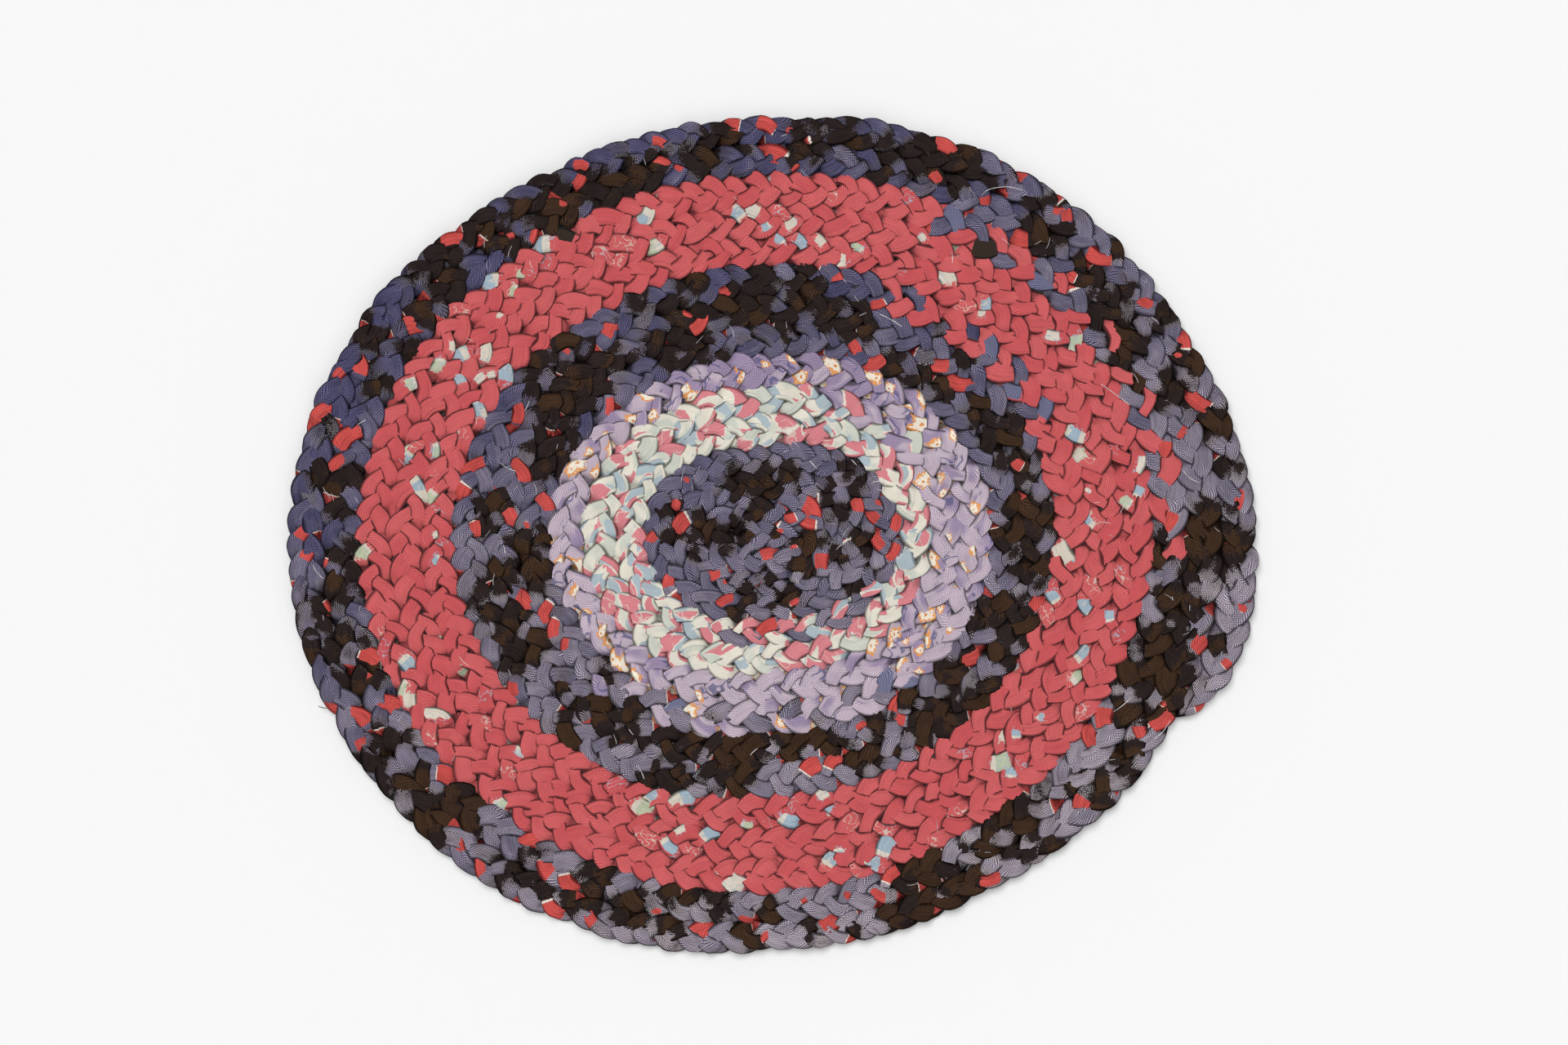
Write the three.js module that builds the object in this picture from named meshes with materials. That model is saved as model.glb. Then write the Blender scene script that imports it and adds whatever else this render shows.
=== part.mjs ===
// Braided rag rug: one long flat braid of cloth strips, coiled clockwise into an oval and laced.
// Units are millimetres, +Z is up, and the rug lies on Z = 0 with its middle at X = Y = 0.
// The braid is made in six stretches of different cloth. Each stretch is one closed solid.

import * as THREE from 'three';

// ---- Driving dimensions ----

const braidHeight = 6.2;      // thickness of the braid where it lies highest
const unevenShare = 0.05;     // how much the braid's height wanders along its length
const lacedGap = 0.3;         // slit between neighbouring rounds, where they are laced together
const spliceGap = 0.3;        // slit between two stretches where the cloth changes
const firstRowWidth = 8.1;    // width of the braid in the row that starts the coil
const startHalfLength = 8.5;  // half the length of that first straight row
const startMiddleX = -2.2;    // where the middle of the first row lies
const edgeLobePitch = 8;      // spacing of the strand lobes along the rug's outer edge
const edgeLobeRise = 0.8;     // how far those lobes stand out past the round's mean edge
const edgeNotchDepth = 0.5;   // how far the notch between two lobes lies inside it
const tailLength = 27;        // length over which the end of the braid tapers in
const tailWidthShare = 0.2;   // width left at the tip of that taper
const tailHeightShare = 0.55; // height left at the tip
const noseHeightShare = 0.55; // height at the very front of the first row's round nose
const stepsPerRay = 3;        // cross sections from one measured ray to the next
const stepsPerLobe = 3;       // cross sections to each lobe of the edge: a notch and two full ones

// The coil turns about two pivots, one at each end of the first row. Half a row's width lies
// between them in Y, so that every half turn joins the row that it left to the next one out.
const leftPivot = new THREE.Vector2(startMiddleX - startHalfLength, -0.1);
const rightPivot = new THREE.Vector2(startMiddleX + startHalfLength, -0.1 - firstRowWidth / 2);

// Distance from the pivot to the outer side of a round, along 14 rays met in clockwise order.
// The columns are the rounds 0 (first), 3, 7, 11, 13 and 14, and those between are worked out.
const measuredRounds = [0, 3, 7, 11, 13, 14];
const rays = [
  { angle: 90, pivot: leftPivot, reach: [4.05, 28.3, 68.9, 108.0, 128.0, 137.0] },
  { angle: 90, pivot: rightPivot, reach: [8.1, 34.0, 74.0, 112.9, 132.8, 141.5] },
  { angle: 60, pivot: rightPivot, reach: [8.1, 35.6, 74.0, 114.5, 134.5, 145.3] },
  { angle: 30, pivot: rightPivot, reach: [8.1, 36.7, 76.7, 119.3, 138.2, 148.5] },
  { angle: 0, pivot: rightPivot, reach: [8.1, 36.2, 76.1, 118.8, 142.0, 153.4] },
  { angle: -30, pivot: rightPivot, reach: [8.1, 32.9, 72.4, 113.9, 137.7, 149.6] },
  { angle: -60, pivot: rightPivot, reach: [8.1, 31.3, 70.2, 110.2, 130.7, 141.5] },
  { angle: -90, pivot: rightPivot, reach: [8.1, 30.8, 70.7, 112.9, 132.3, 142.6] },
  { angle: -90, pivot: leftPivot, reach: [12.15, 36.2, 75.6, 117.7, 137.2, 147.4] },
  { angle: -120, pivot: leftPivot, reach: [12.15, 37.8, 78.8, 118.3, 140.9, 151.7] },
  { angle: -150, pivot: leftPivot, reach: [12.15, 40.0, 81.5, 123.7, 145.8, 156.6] },
  { angle: -180, pivot: leftPivot, reach: [12.15, 41.0, 84.2, 125.3, 148.5, 159.8] },
  { angle: -210, pivot: leftPivot, reach: [12.15, 40.0, 80.5, 122.0, 143.1, 153.9] },
  { angle: -240, pivot: leftPivot, reach: [12.15, 37.3, 76.1, 116.6, 135.0, 145.8] },
];
const raysPerTurn = rays.length;

// The stretches of cloth. A place on the coil is counted in rays from the start of the first row,
// so round 3 at the ray after the fifth is 3 * 14 + 5. Each stretch ends where the next one starts.
const stretches = [
  { name: 'plaid_centre_coil', endRound: 3, endRay: 5.5, colour: 0x53536c, roughness: 0.95 },
  { name: 'cream_print_coil', endRound: 5, endRay: 2, colour: 0xcfc3bb, roughness: 0.95 },
  { name: 'lavender_print_coil', endRound: 6, endRay: 9.4, colour: 0xa89dba, roughness: 0.95 },
  { name: 'plaid_middle_coil', endRound: 9, endRay: 1.95, colour: 0x403c48, roughness: 0.95 },
  { name: 'red_coil', endRound: 12, endRay: 2.5, colour: 0xbf4853, roughness: 0.95 },
  { name: 'plaid_outer_coil', endRound: 14, endRay: 4.83, colour: 0x494857, roughness: 0.95 },
];

// Cross section of the braid, from the inner side (across 0) to the outer side (across 1).
// It is flat below, widest under half its height and domed above.
const section = [
  { across: 0.14, up: 0 },
  { across: 0.86, up: 0 },
  { across: 1, up: 0.42 },
  { across: 0.87, up: 0.82 },
  { across: 0.63, up: 1 },
  { across: 0.37, up: 1 },
  { across: 0.13, up: 0.82 },
  { across: 0, up: 0.42 },
];

// Where the nose has its cross sections, as shares of its radius beyond the left pivot.
const noseSteps = [0.96, 0.8, 0.5];

const coilEnd = placeOf(stretches.at(-1));

// ---- The coil ----

function placeOf(stretch) {
  return stretch.endRound * raysPerTurn + stretch.endRay;
}

// Outer reach of a round at a measured ray. Rounds before the first are one row width less each.
function reachAtRay(ray, round) {
  const { reach } = rays[ray];
  if (round <= 0) {
    return reach[0] + round * firstRowWidth;
  }
  let column = 0;
  while (column < measuredRounds.length - 2 && measuredRounds[column + 1] < round) {
    column += 1;
  }
  const share = (round - measuredRounds[column]) / (measuredRounds[column + 1] - measuredRounds[column]);
  return THREE.MathUtils.lerp(reach[column], reach[column + 1], share);
}

// Outer reach at any place: a smooth curve through the rays, straight along the two straight rows.
function reachAt(place) {
  const start = Math.floor(place);
  const share = place - start;
  const at = (index) => {
    const ray = THREE.MathUtils.euclideanModulo(index, raysPerTurn);
    return reachAtRay(ray, (index - ray) / raysPerTurn);
  };
  const ray = THREE.MathUtils.euclideanModulo(start, raysPerTurn);
  const isStraight = rays[ray].pivot !== rays[(ray + 1) % raysPerTurn].pivot;
  if (isStraight) {
    return THREE.MathUtils.lerp(at(start), at(start + 1), share);
  }
  const before = leavesStraight(ray) ? 2 * at(start) - at(start + 1) : at(start - 1);
  const after = entersStraight(ray) ? 2 * at(start + 1) - at(start) : at(start + 2);
  return catmullRom(before, at(start), at(start + 1), after, share);
}

function leavesStraight(ray) {
  return rays[(ray + raysPerTurn - 1) % raysPerTurn].pivot !== rays[ray].pivot;
}

function entersStraight(ray) {
  return rays[(ray + 1) % raysPerTurn].pivot !== rays[(ray + 2) % raysPerTurn].pivot;
}

function catmullRom(before, from, to, after, share) {
  const slopeFrom = (to - before) / 2;
  const slopeTo = (after - from) / 2;
  const square = share * share;
  const cube = square * share;
  return (2 * cube - 3 * square + 1) * from + (cube - 2 * square + share) * slopeFrom
    + (3 * square - 2 * cube) * to + (cube - square) * slopeTo;
}

// The ray through a place: where it starts, and which way it points.
function rayAt(place) {
  const start = Math.floor(place);
  const ray = THREE.MathUtils.euclideanModulo(start, raysPerTurn);
  const next = (ray + 1) % raysPerTurn;
  const share = place - start;
  const nextAngle = next === 0 ? rays[0].angle - 360 : rays[next].angle;
  const angle = THREE.MathUtils.degToRad(THREE.MathUtils.lerp(rays[ray].angle, nextAngle, share));
  return {
    origin: rays[ray].pivot.clone().lerp(rays[next].pivot, share),
    direction: new THREE.Vector2(Math.cos(angle), Math.sin(angle)),
  };
}

// Two slow waves of different length, so that the braid's height wanders without a pattern.
function heightAt(place) {
  const wave = Math.sin(place * 0.83) * 0.6 + Math.sin(place * 0.31 + 1) * 0.4;
  return braidHeight * (1 - unevenShare * (0.5 + 0.5 * wave));
}

// A cross section as a row of points. Its inner side lies against the round before it.
function sectionAt(place) {
  const { origin, direction } = rayAt(place);
  const inner = reachAt(place - raysPerTurn) + lacedGap / 2;
  const outer = reachAt(place) - lacedGap / 2;
  const height = heightAt(place);
  return section.map(({ across, up }) => {
    const reach = THREE.MathUtils.lerp(inner, outer, across);
    return new THREE.Vector3(
      origin.x + direction.x * reach,
      origin.y + direction.y * reach,
      height * up,
    );
  });
}

// A cross section between two others, with every point on the straight line between theirs.
function blendSections(from, to, share) {
  return from.map((point, index) => point.clone().lerp(to[index], share));
}

// A cross section drawn in towards one side. Side 0 is its inner side, 0.5 its middle line.
function narrowSection(points, side, widthShare, heightShare) {
  const inner = points.at(-1);
  const outer = points[2];
  const still = inner.clone().lerp(outer, side);
  return points.map((point) => new THREE.Vector3(
    THREE.MathUtils.lerp(still.x, point.x, widthShare),
    THREE.MathUtils.lerp(still.y, point.y, widthShare),
    point.z * heightShare,
  ));
}

// ---- Cross sections along each kind of stretch ----

// Evenly spaced places on the coil, from one place to another, with both ends.
function placesBetween(from, to) {
  const places = [from];
  const first = Math.floor(from * stepsPerRay + 0.25) + 1;
  for (let step = first; step / stepsPerRay < to - 0.25 / stepsPerRay; step += 1) {
    places.push(step / stepsPerRay);
  }
  places.push(to);
  return places;
}

// A section at a place that may lie between two steps: it is kept on the chord between them, so
// that its sides never cross those of the next round.
function chordSection(place) {
  const step = Math.floor(place * stepsPerRay + 1e-6);
  const share = place * stepsPerRay - step;
  if (share < 1e-6) {
    return sectionAt(step / stepsPerRay);
  }
  return blendSections(sectionAt(step / stepsPerRay), sectionAt((step + 1) / stepsPerRay), share);
}

// The round nose of the braid's first end, which sticks out beyond the left pivot.
function noseSections() {
  const first = sectionAt(0);
  const radius = firstRowWidth / 2 - lacedGap;
  return noseSteps.map((beyond) => {
    const widthShare = Math.sqrt(1 - beyond * beyond);
    const heightShare = THREE.MathUtils.lerp(noseHeightShare, 1, widthShare);
    const rounded = narrowSection(first, 0.5, widthShare, heightShare);
    return rounded.map((point) => point.setX(point.x - beyond * radius));
  });
}

// The last round has the strand lobes on its outer side: a notch, then two points at full width.
function edgeSections(from, to) {
  const places = placesBetween(from, to);
  const sections = [];
  for (let index = 0; index < places.length - 1; index += 1) {
    const start = chordSection(places[index]);
    const end = chordSection(places[index + 1]);
    const lobes = Math.max(1, Math.round(start[2].distanceTo(end[2]) / edgeLobePitch));
    const steps = lobes * stepsPerLobe;
    for (let step = 0; step < steps; step += 1) {
      const points = blendSections(start, end, step / steps);
      const isNotch = step % stepsPerLobe === 0;
      sections.push(shiftOuterSide(points, isNotch ? -edgeNotchDepth : edgeLobeRise));
    }
  }
  sections.push(chordSection(to));
  return sections;
}

// A section with its three outer points moved outwards by a distance.
function shiftOuterSide(points, distance) {
  const outward = points[2].clone().sub(points.at(-1)).setZ(0).normalize();
  return points.map((point, index) => {
    const isOuter = index >= 1 && index <= 3;
    return isOuter ? point.clone().addScaledVector(outward, distance) : point;
  });
}

// The last end of the braid tapers towards the round that it is laced to.
function taperTail(sections) {
  const tapered = [...sections];
  let fromTip = 0;
  for (let index = sections.length - 1; index > 0 && fromTip < tailLength; index -= 1) {
    const share = Math.sqrt(fromTip / tailLength);
    const widthShare = THREE.MathUtils.lerp(tailWidthShare, 1, share);
    const heightShare = THREE.MathUtils.lerp(tailHeightShare, 1, share);
    tapered[index] = narrowSection(sections[index], 0, widthShare, heightShare);
    fromTip += sections[index].at(-1).distanceTo(sections[index - 1].at(-1));
  }
  return tapered;
}

// How much of the way from one ray to the next half the splice gap takes up at this place.
function spliceShare(place) {
  const topCorner = 4;
  const sample = 0.1;
  const length = sectionAt(place)[topCorner].distanceTo(sectionAt(place + sample)[topCorner]) / sample;
  return spliceGap / 2 / length;
}

function stretchSections(index) {
  const isFirst = index === 0;
  const isLast = index === stretches.length - 1;
  const startPlace = isFirst ? 0 : placeOf(stretches[index - 1]);
  const endPlace = placeOf(stretches[index]);
  const from = isFirst ? 0 : startPlace + spliceShare(startPlace);
  const to = isLast ? endPlace : endPlace - spliceShare(endPlace);
  if (!isLast) {
    const coil = placesBetween(from, to).map(chordSection);
    return isFirst ? [...noseSections(), ...coil] : coil;
  }
  const edgeStart = Math.floor(coilEnd) - raysPerTurn + 1;
  const inside = placesBetween(from, edgeStart).map(chordSection).slice(0, -1);
  return taperTail([...inside, ...edgeSections(edgeStart, to)]);
}

// ---- Solids ----

// Skins a row of cross sections, with a flat face at each end. The result is one closed body.
function skinSections(sections) {
  const corners = section.length;
  const positions = sections.flatMap((points) => points.flatMap((point) => point.toArray()));
  const indices = [];
  for (let row = 0; row < sections.length - 1; row += 1) {
    for (let corner = 0; corner < corners; corner += 1) {
      const next = (corner + 1) % corners;
      const near = row * corners + corner;
      const nearNext = row * corners + next;
      const far = near + corners;
      const farNext = nearNext + corners;
      indices.push(near, nearNext, far, nearNext, farNext, far);
    }
  }
  const last = (sections.length - 1) * corners;
  for (let corner = 1; corner < corners - 1; corner += 1) {
    indices.push(0, corner + 1, corner);
    indices.push(last, last + corner, last + corner + 1);
  }
  const geometry = new THREE.BufferGeometry();
  geometry.setAttribute('position', new THREE.Float32BufferAttribute(positions, 3));
  geometry.setIndex(indices);
  geometry.computeVertexNormals();
  return geometry;
}

function makeStretch(index) {
  const { name, colour, roughness } = stretches[index];
  const material = new THREE.MeshStandardMaterial({ color: colour, roughness, metalness: 0 });
  const mesh = new THREE.Mesh(skinSections(stretchSections(index)), material);
  mesh.name = name;
  return mesh;
}

// The whole rug, moved so that the middle of its bounding box is at X = Y = 0.
const rug = new THREE.Group();
rug.name = 'braided_rug';
stretches.forEach((stretch, index) => rug.add(makeStretch(index)));
const middle = new THREE.Box3().setFromObject(rug).getCenter(new THREE.Vector3());
rug.position.set(-middle.x, -middle.y, 0);

export default rug;
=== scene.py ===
import math

import bpy
import numpy as np
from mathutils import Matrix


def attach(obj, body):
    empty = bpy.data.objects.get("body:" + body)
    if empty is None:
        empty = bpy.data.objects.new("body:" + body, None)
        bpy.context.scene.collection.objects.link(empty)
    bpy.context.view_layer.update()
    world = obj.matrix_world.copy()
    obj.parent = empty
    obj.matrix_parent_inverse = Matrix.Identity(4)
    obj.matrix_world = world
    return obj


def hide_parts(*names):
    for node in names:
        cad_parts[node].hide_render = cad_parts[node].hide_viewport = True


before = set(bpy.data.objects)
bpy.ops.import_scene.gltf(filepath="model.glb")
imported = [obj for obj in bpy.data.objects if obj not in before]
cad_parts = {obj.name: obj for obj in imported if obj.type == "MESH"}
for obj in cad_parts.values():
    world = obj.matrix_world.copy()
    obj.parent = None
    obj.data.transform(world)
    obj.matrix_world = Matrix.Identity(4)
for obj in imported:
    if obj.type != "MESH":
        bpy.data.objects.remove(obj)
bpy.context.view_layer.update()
mm = 0.001  # every size below is in millimetres and is turned into metres where a mesh is made

# the coil that the braid follows, as in the solids
coil = {
    "shift": (-0.23, -0.05),           # moves the middle of the rug to the origin
    "firstRowWidth": 8.1,
    "startHalfLength": 8.5,            # half the straight first row
    "startMiddle": (-2.2, -0.1),
    "measuredRounds": (0, 3, 7, 11, 13, 14),
    "tailLength": 27.0,
    "tailWidthShare": 0.25,
    "tuck": 2.4,                       # how far the tail's tip is drawn in to the row beside it
    "tuckLength": 20.0,
    "endPlace": 14 * 14 + 4.83,        # counted in rays from the start of the first row
    "startPlace": -0.2,
    "fineStep": 0.04,                  # of a ray, for measuring the coil's length
}
# angle of the ray, side of its pivot (-1 left, 1 right), outer reach of the measured rounds
coilRays = [
    (90, -1, (4.05, 28.3, 68.9, 108.0, 128.0, 137.0)),
    (90, 1, (8.1, 34.0, 74.0, 112.9, 132.8, 141.5)),
    (60, 1, (8.1, 35.6, 74.0, 114.5, 134.5, 145.3)),
    (30, 1, (8.1, 36.7, 76.7, 119.3, 138.2, 148.5)),
    (0, 1, (8.1, 36.2, 76.1, 118.8, 142.0, 153.4)),
    (-30, 1, (8.1, 32.9, 72.4, 113.9, 137.7, 149.6)),
    (-60, 1, (8.1, 31.3, 70.2, 110.2, 130.7, 141.5)),
    (-90, 1, (8.1, 30.8, 70.7, 112.9, 132.3, 142.6)),
    (-90, -1, (12.15, 36.2, 75.6, 117.7, 137.2, 147.4)),
    (-120, -1, (12.15, 37.8, 78.8, 118.3, 140.9, 151.7)),
    (-150, -1, (12.15, 40.0, 81.5, 123.7, 145.8, 156.6)),
    (-180, -1, (12.15, 41.0, 84.2, 125.3, 148.5, 159.8)),
    (-210, -1, (12.15, 40.0, 80.5, 122.0, 143.1, 153.9)),
    (-240, -1, (12.15, 37.3, 76.1, 116.6, 135.0, 145.8)),
]
raysPerTurn = len(coilRays)


def makeCoilTables():
    # reach[m] = outer reach at ray m mod 14 of round m div 14, from one round before the first
    rounds = np.arange(-1, 16)
    measured = np.array(coil["measuredRounds"], float)
    last = measured[-1]
    columns = []
    for angle, side, reach in coilRays:
        reach = np.array(reach)
        inside = np.interp(rounds, measured, reach)
        before = reach[0] + rounds * coil["firstRowWidth"]
        after = reach[-1] + (rounds - last) * (reach[-1] - reach[-2])
        columns.append(np.where(rounds < 0, before, np.where(rounds > last, after, inside)))
    reachTable = np.stack(columns, 1).ravel()
    middleX, middleY = coil["startMiddle"]
    half = coil["startHalfLength"]
    row = coil["firstRowWidth"]
    pivots = np.array([
        (middleX + half, middleY - row / 2) if side > 0 else (middleX - half, middleY)
        for angle, side, reach in coilRays
    ]) + np.array(coil["shift"])
    angles = np.array([angle for angle, side, reach in coilRays], float)
    return reachTable, pivots, angles


reachTable, pivotTable, angleTable = makeCoilTables()


def reachAt(place):
    # Hermite curve through the rays: h00 a + h10 sa + h01 b + h11 sb, and a straight line along
    # the two straight rows, where the pivot changes
    start = np.floor(place).astype(int)
    f = place - start
    ray = start % raysPerTurn
    index = start + raysPerTurn
    top = len(reachTable) - 1
    p0, p1, p2, p3 = (reachTable[np.clip(index + k, 0, top)] for k in (-1, 0, 1, 2))
    leaves = (ray == 1) | (ray == 8)
    enters = (ray == 6) | (ray == 13)
    straight = (ray == 0) | (ray == 7)
    slopeFrom = np.where(leaves, p2 - p1, (p2 - p0) / 2)
    slopeTo = np.where(enters, p2 - p1, (p3 - p1) / 2)
    f2 = f * f
    f3 = f2 * f
    curve = ((2 * f3 - 3 * f2 + 1) * p1 + (f3 - 2 * f2 + f) * slopeFrom
             + (3 * f2 - 2 * f3) * p2 + (f3 - f2) * slopeTo)
    return np.where(straight, p1 + (p2 - p1) * f, curve)


def rayAt(place):
    # origin and unit direction of the ray through each place; before place 0 the first row runs
    # straight on to the left
    inside = np.maximum(place, 0)
    start = np.floor(inside).astype(int)
    f = inside - start
    ray = start % raysPerTurn
    following = (ray + 1) % raysPerTurn
    nextAngle = np.where(following == 0, angleTable[0] - 360, angleTable[following])
    angle = np.radians(angleTable[ray] + (nextAngle - angleTable[ray]) * f)
    origin = pivotTable[ray] + (pivotTable[following] - pivotTable[ray]) * f[:, None]
    origin[:, 0] += np.minimum(place, 0) * 2 * coil["startHalfLength"]
    return origin, np.stack([np.cos(angle), np.sin(angle)], 1)


def grown(least, amount):
    # a share that grows from its least value to 1 as the amount goes from 0 to 1
    return least + (1 - least) * amount


def sampleCoil(step):
    # the braid's middle line, resampled at an even distance, with its direction across and its
    # half width at each sample
    dense = np.arange(coil["startPlace"], coil["endPlace"], coil["fineStep"])

    def lineAt(place):
        inside = np.maximum(place, 0)
        inner = reachAt(inside - raysPerTurn)
        outer = reachAt(inside)
        origin, across = rayAt(place)
        return origin, across, inner, outer

    origin, across, inner, outer = lineAt(dense)
    line = origin + across * ((inner + outer) / 2)[:, None]
    length = np.concatenate([[0], np.cumsum(np.linalg.norm(np.diff(line, axis=0), axis=1))])
    even = np.arange(0, length[-1], step)
    place = np.interp(even, length, dense)
    origin, across, inner, outer = lineAt(place)
    left = np.clip((even[-1] - even) / coil["tailLength"], 0, 1)
    share = grown(coil["tailWidthShare"], np.sqrt(left))
    outer = inner + (outer - inner) * share
    tucked = coil["tuck"] * (1 - np.clip((even[-1] - even) / coil["tuckLength"], 0, 1)) ** 1.5
    return {
        "length": even,
        "place": place,
        "middle": origin + across * ((inner + outer) / 2 - tucked)[:, None],
        "across": across,
        "halfWidth": (outer - inner) / 2,
        "tail": share,
    }


def smoothNoise(at, seed):
    # value noise on a line: random heights at the whole numbers, joined by a smooth step
    cell = np.floor(at).astype(int)
    f = at - cell
    heights = np.random.default_rng(seed).uniform(-1, 1, 8192)
    blend = f * f * (3 - 2 * f)
    a = heights[cell % 8192]
    b = heights[(cell + 1) % 8192]
    return a + (b - a) * blend


def smoothNoise2(x, y, seed):
    # value noise on a plane, joined by a smooth step both ways
    table = np.random.default_rng(seed).uniform(-1, 1, (512, 512))
    cx, cy = np.floor(x).astype(int), np.floor(y).astype(int)
    fx, fy = x - cx, y - cy
    bx, by = fx * fx * (3 - 2 * fx), fy * fy * (3 - 2 * fy)
    a = table[cx % 512, cy % 512]
    b = table[(cx + 1) % 512, cy % 512]
    c = table[cx % 512, (cy + 1) % 512]
    d = table[(cx + 1) % 512, (cy + 1) % 512]
    return (a + (b - a) * bx) * (1 - by) + (c + (d - c) * bx) * by


plait = {
    "step": 1.0,               # distance between cross sections along the braid
    "strandShare": 0.52,       # width of a strand as a share of the braid's width
    "strandHeight": 3.45,
    "sunk": 0.15,              # how far the middle of the wave lies below half a strand's height
    "rise": 1.32,              # how far a strand rises and falls where it passes over and under
    "plateau": 1.7,            # how flat the top and bottom of its wave are
    "overlap": 0.12,           # how far a strand reaches into the next row, as a share of the width,
    "overlapLeft": 0.3,        # and the share of this that is left in the last row
    "periodBase": 8.6,         # period of the plait = base + perWidth * width of the braid
    "periodPerWidth": 1.38,
    "periodWander": 0.10,
    "periodWanderLength": 60,
    "edgeRoll": 12,            # degrees that a strand turns as it goes round the braid's edge
    "wander": 0.85,            # random sideways shift of a strand, in mm
    "paceWander": 0.45,        # random lead or lag of a strand, in radians
    "paceWanderLength": 11,
    "rollWander": 16,          # random turn of a strand, in degrees
    "widthWander": 0.28,
    "heightWander": 0.10,
    "riseWander": 0.40,
    "endLength": 7,            # the braid narrows and lowers over this length at its ends
    "endWidth": 0.55,          # shares of the full width, height and level at its ends
    "endHeight": 0.6,
    "endLevel": 0.62,
    "tailHeight": 0.7,         # shares of the full height and rise where the tail is thinnest
    "tailRise": 0.55,
    "shoulder": 0.11,          # how much wider a strand is past its turn than at its tip,
    "shoulderAt": 3.84,        # and where, in radians
    "lean": 0.12,              # uneven pace across, as a share of a turn
    "lead": 0.30,              # radians by which it dives later than the braid's middle
    "topShare": 0.25,          # keeps a strand longer on top than below
    "squareness": 5.6,         # exponent of the strand's oval section
    "foldStep": 0.5,           # most height of the folded layers that show along a strand
    "foldFrom": 0.33,          # folds show where their noise is larger than this,
    "foldGain": 5,             # and grow with it by this much
    "foldWander": 0.34,        # random sideways shift of a fold, as a share of half the width
    "foldGap": 0.012,          # half the width of a fold's edge, as the same share
    "wrinkle": 0.17,           # height of the wrinkles, of two sizes along and across the strand
    "wrinkleSizes": ((5.5, 2.2), (2.4, 1.6)),
    "smallWrinkles": 0.6,      # height of the small ones as a share of the large ones'
    "lowest": 0.02,            # clearance from the floor
    "pressedFrom": 3.5,        # above this height the rug is trodden flat
    "pressedBy": 1.1,          # the smaller, the flatter
    "pressedScale": 1.35,
    "foldedIn": 5.5,           # cloth hidden in each fold, so a print jumps there
    "foldColumns": (4, 5, 7, 8),
    "widerReach": 3.4,         # size of the places below
}
# where the strands would leave a gap they are made wider: x, y in mm, and by how much
widerAt = np.array([
    (-16, -8, 0.46), (119, 69, 0.52), (-98, 15, 0.52), (-45, 72, 0.50), (-97, -80, 0.44),
    (44, 43, 0.48), (91, 37, 0.40), (-26, -90, 0.32), (29, 2, 0.32), (-120, 10, 0.32),
    (-13, -42, 0.42), (10, 55, 0.36), (22, 72, 0.24), (-109, 40, 0.24), (59, -26, 0.24),
    (18, 62, 0.24), (-132, -10, 0.24), (36, 122, 0.24), (-66, -11, 0.24), (109, 67, 0.24),
    (123, 58, 0.24), (95, -16, 0.24), (59, -58, 0.24), (-6, -79, 0.24), (-86, -21, 0.24),
    (-95, 27, 0.24), (-5, 129, 0.18), (-35, -122, 0.18), (9, 0, 0.18), (9, 65, 0.18), (5, 8, 0.18),
    (-112, 59, 0.18), (117, 27, 0.18), (80, -34, 0.18), (-59, 40, 0.18), (-62, -78, 0.18),
    (148, 6, 0.18), (120, 41, 0.18), (57, 119, 0.18), (28, -97, 0.18), (5, 76, 0.16),
    (-8, 115, 0.16), (-31, -53, 0.16), (-72, -43, 0.16), (-116, -26, 0.16), (-147, -2, 0.16),
    (132, 25, 0.16), (82, 101, 0.16), (73, 113, 0.16), (47, 117, 0.16), (-10, 94, 0.16),
    (-13, 2, 0.16), (-108, 14, 0.16),
])


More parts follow.
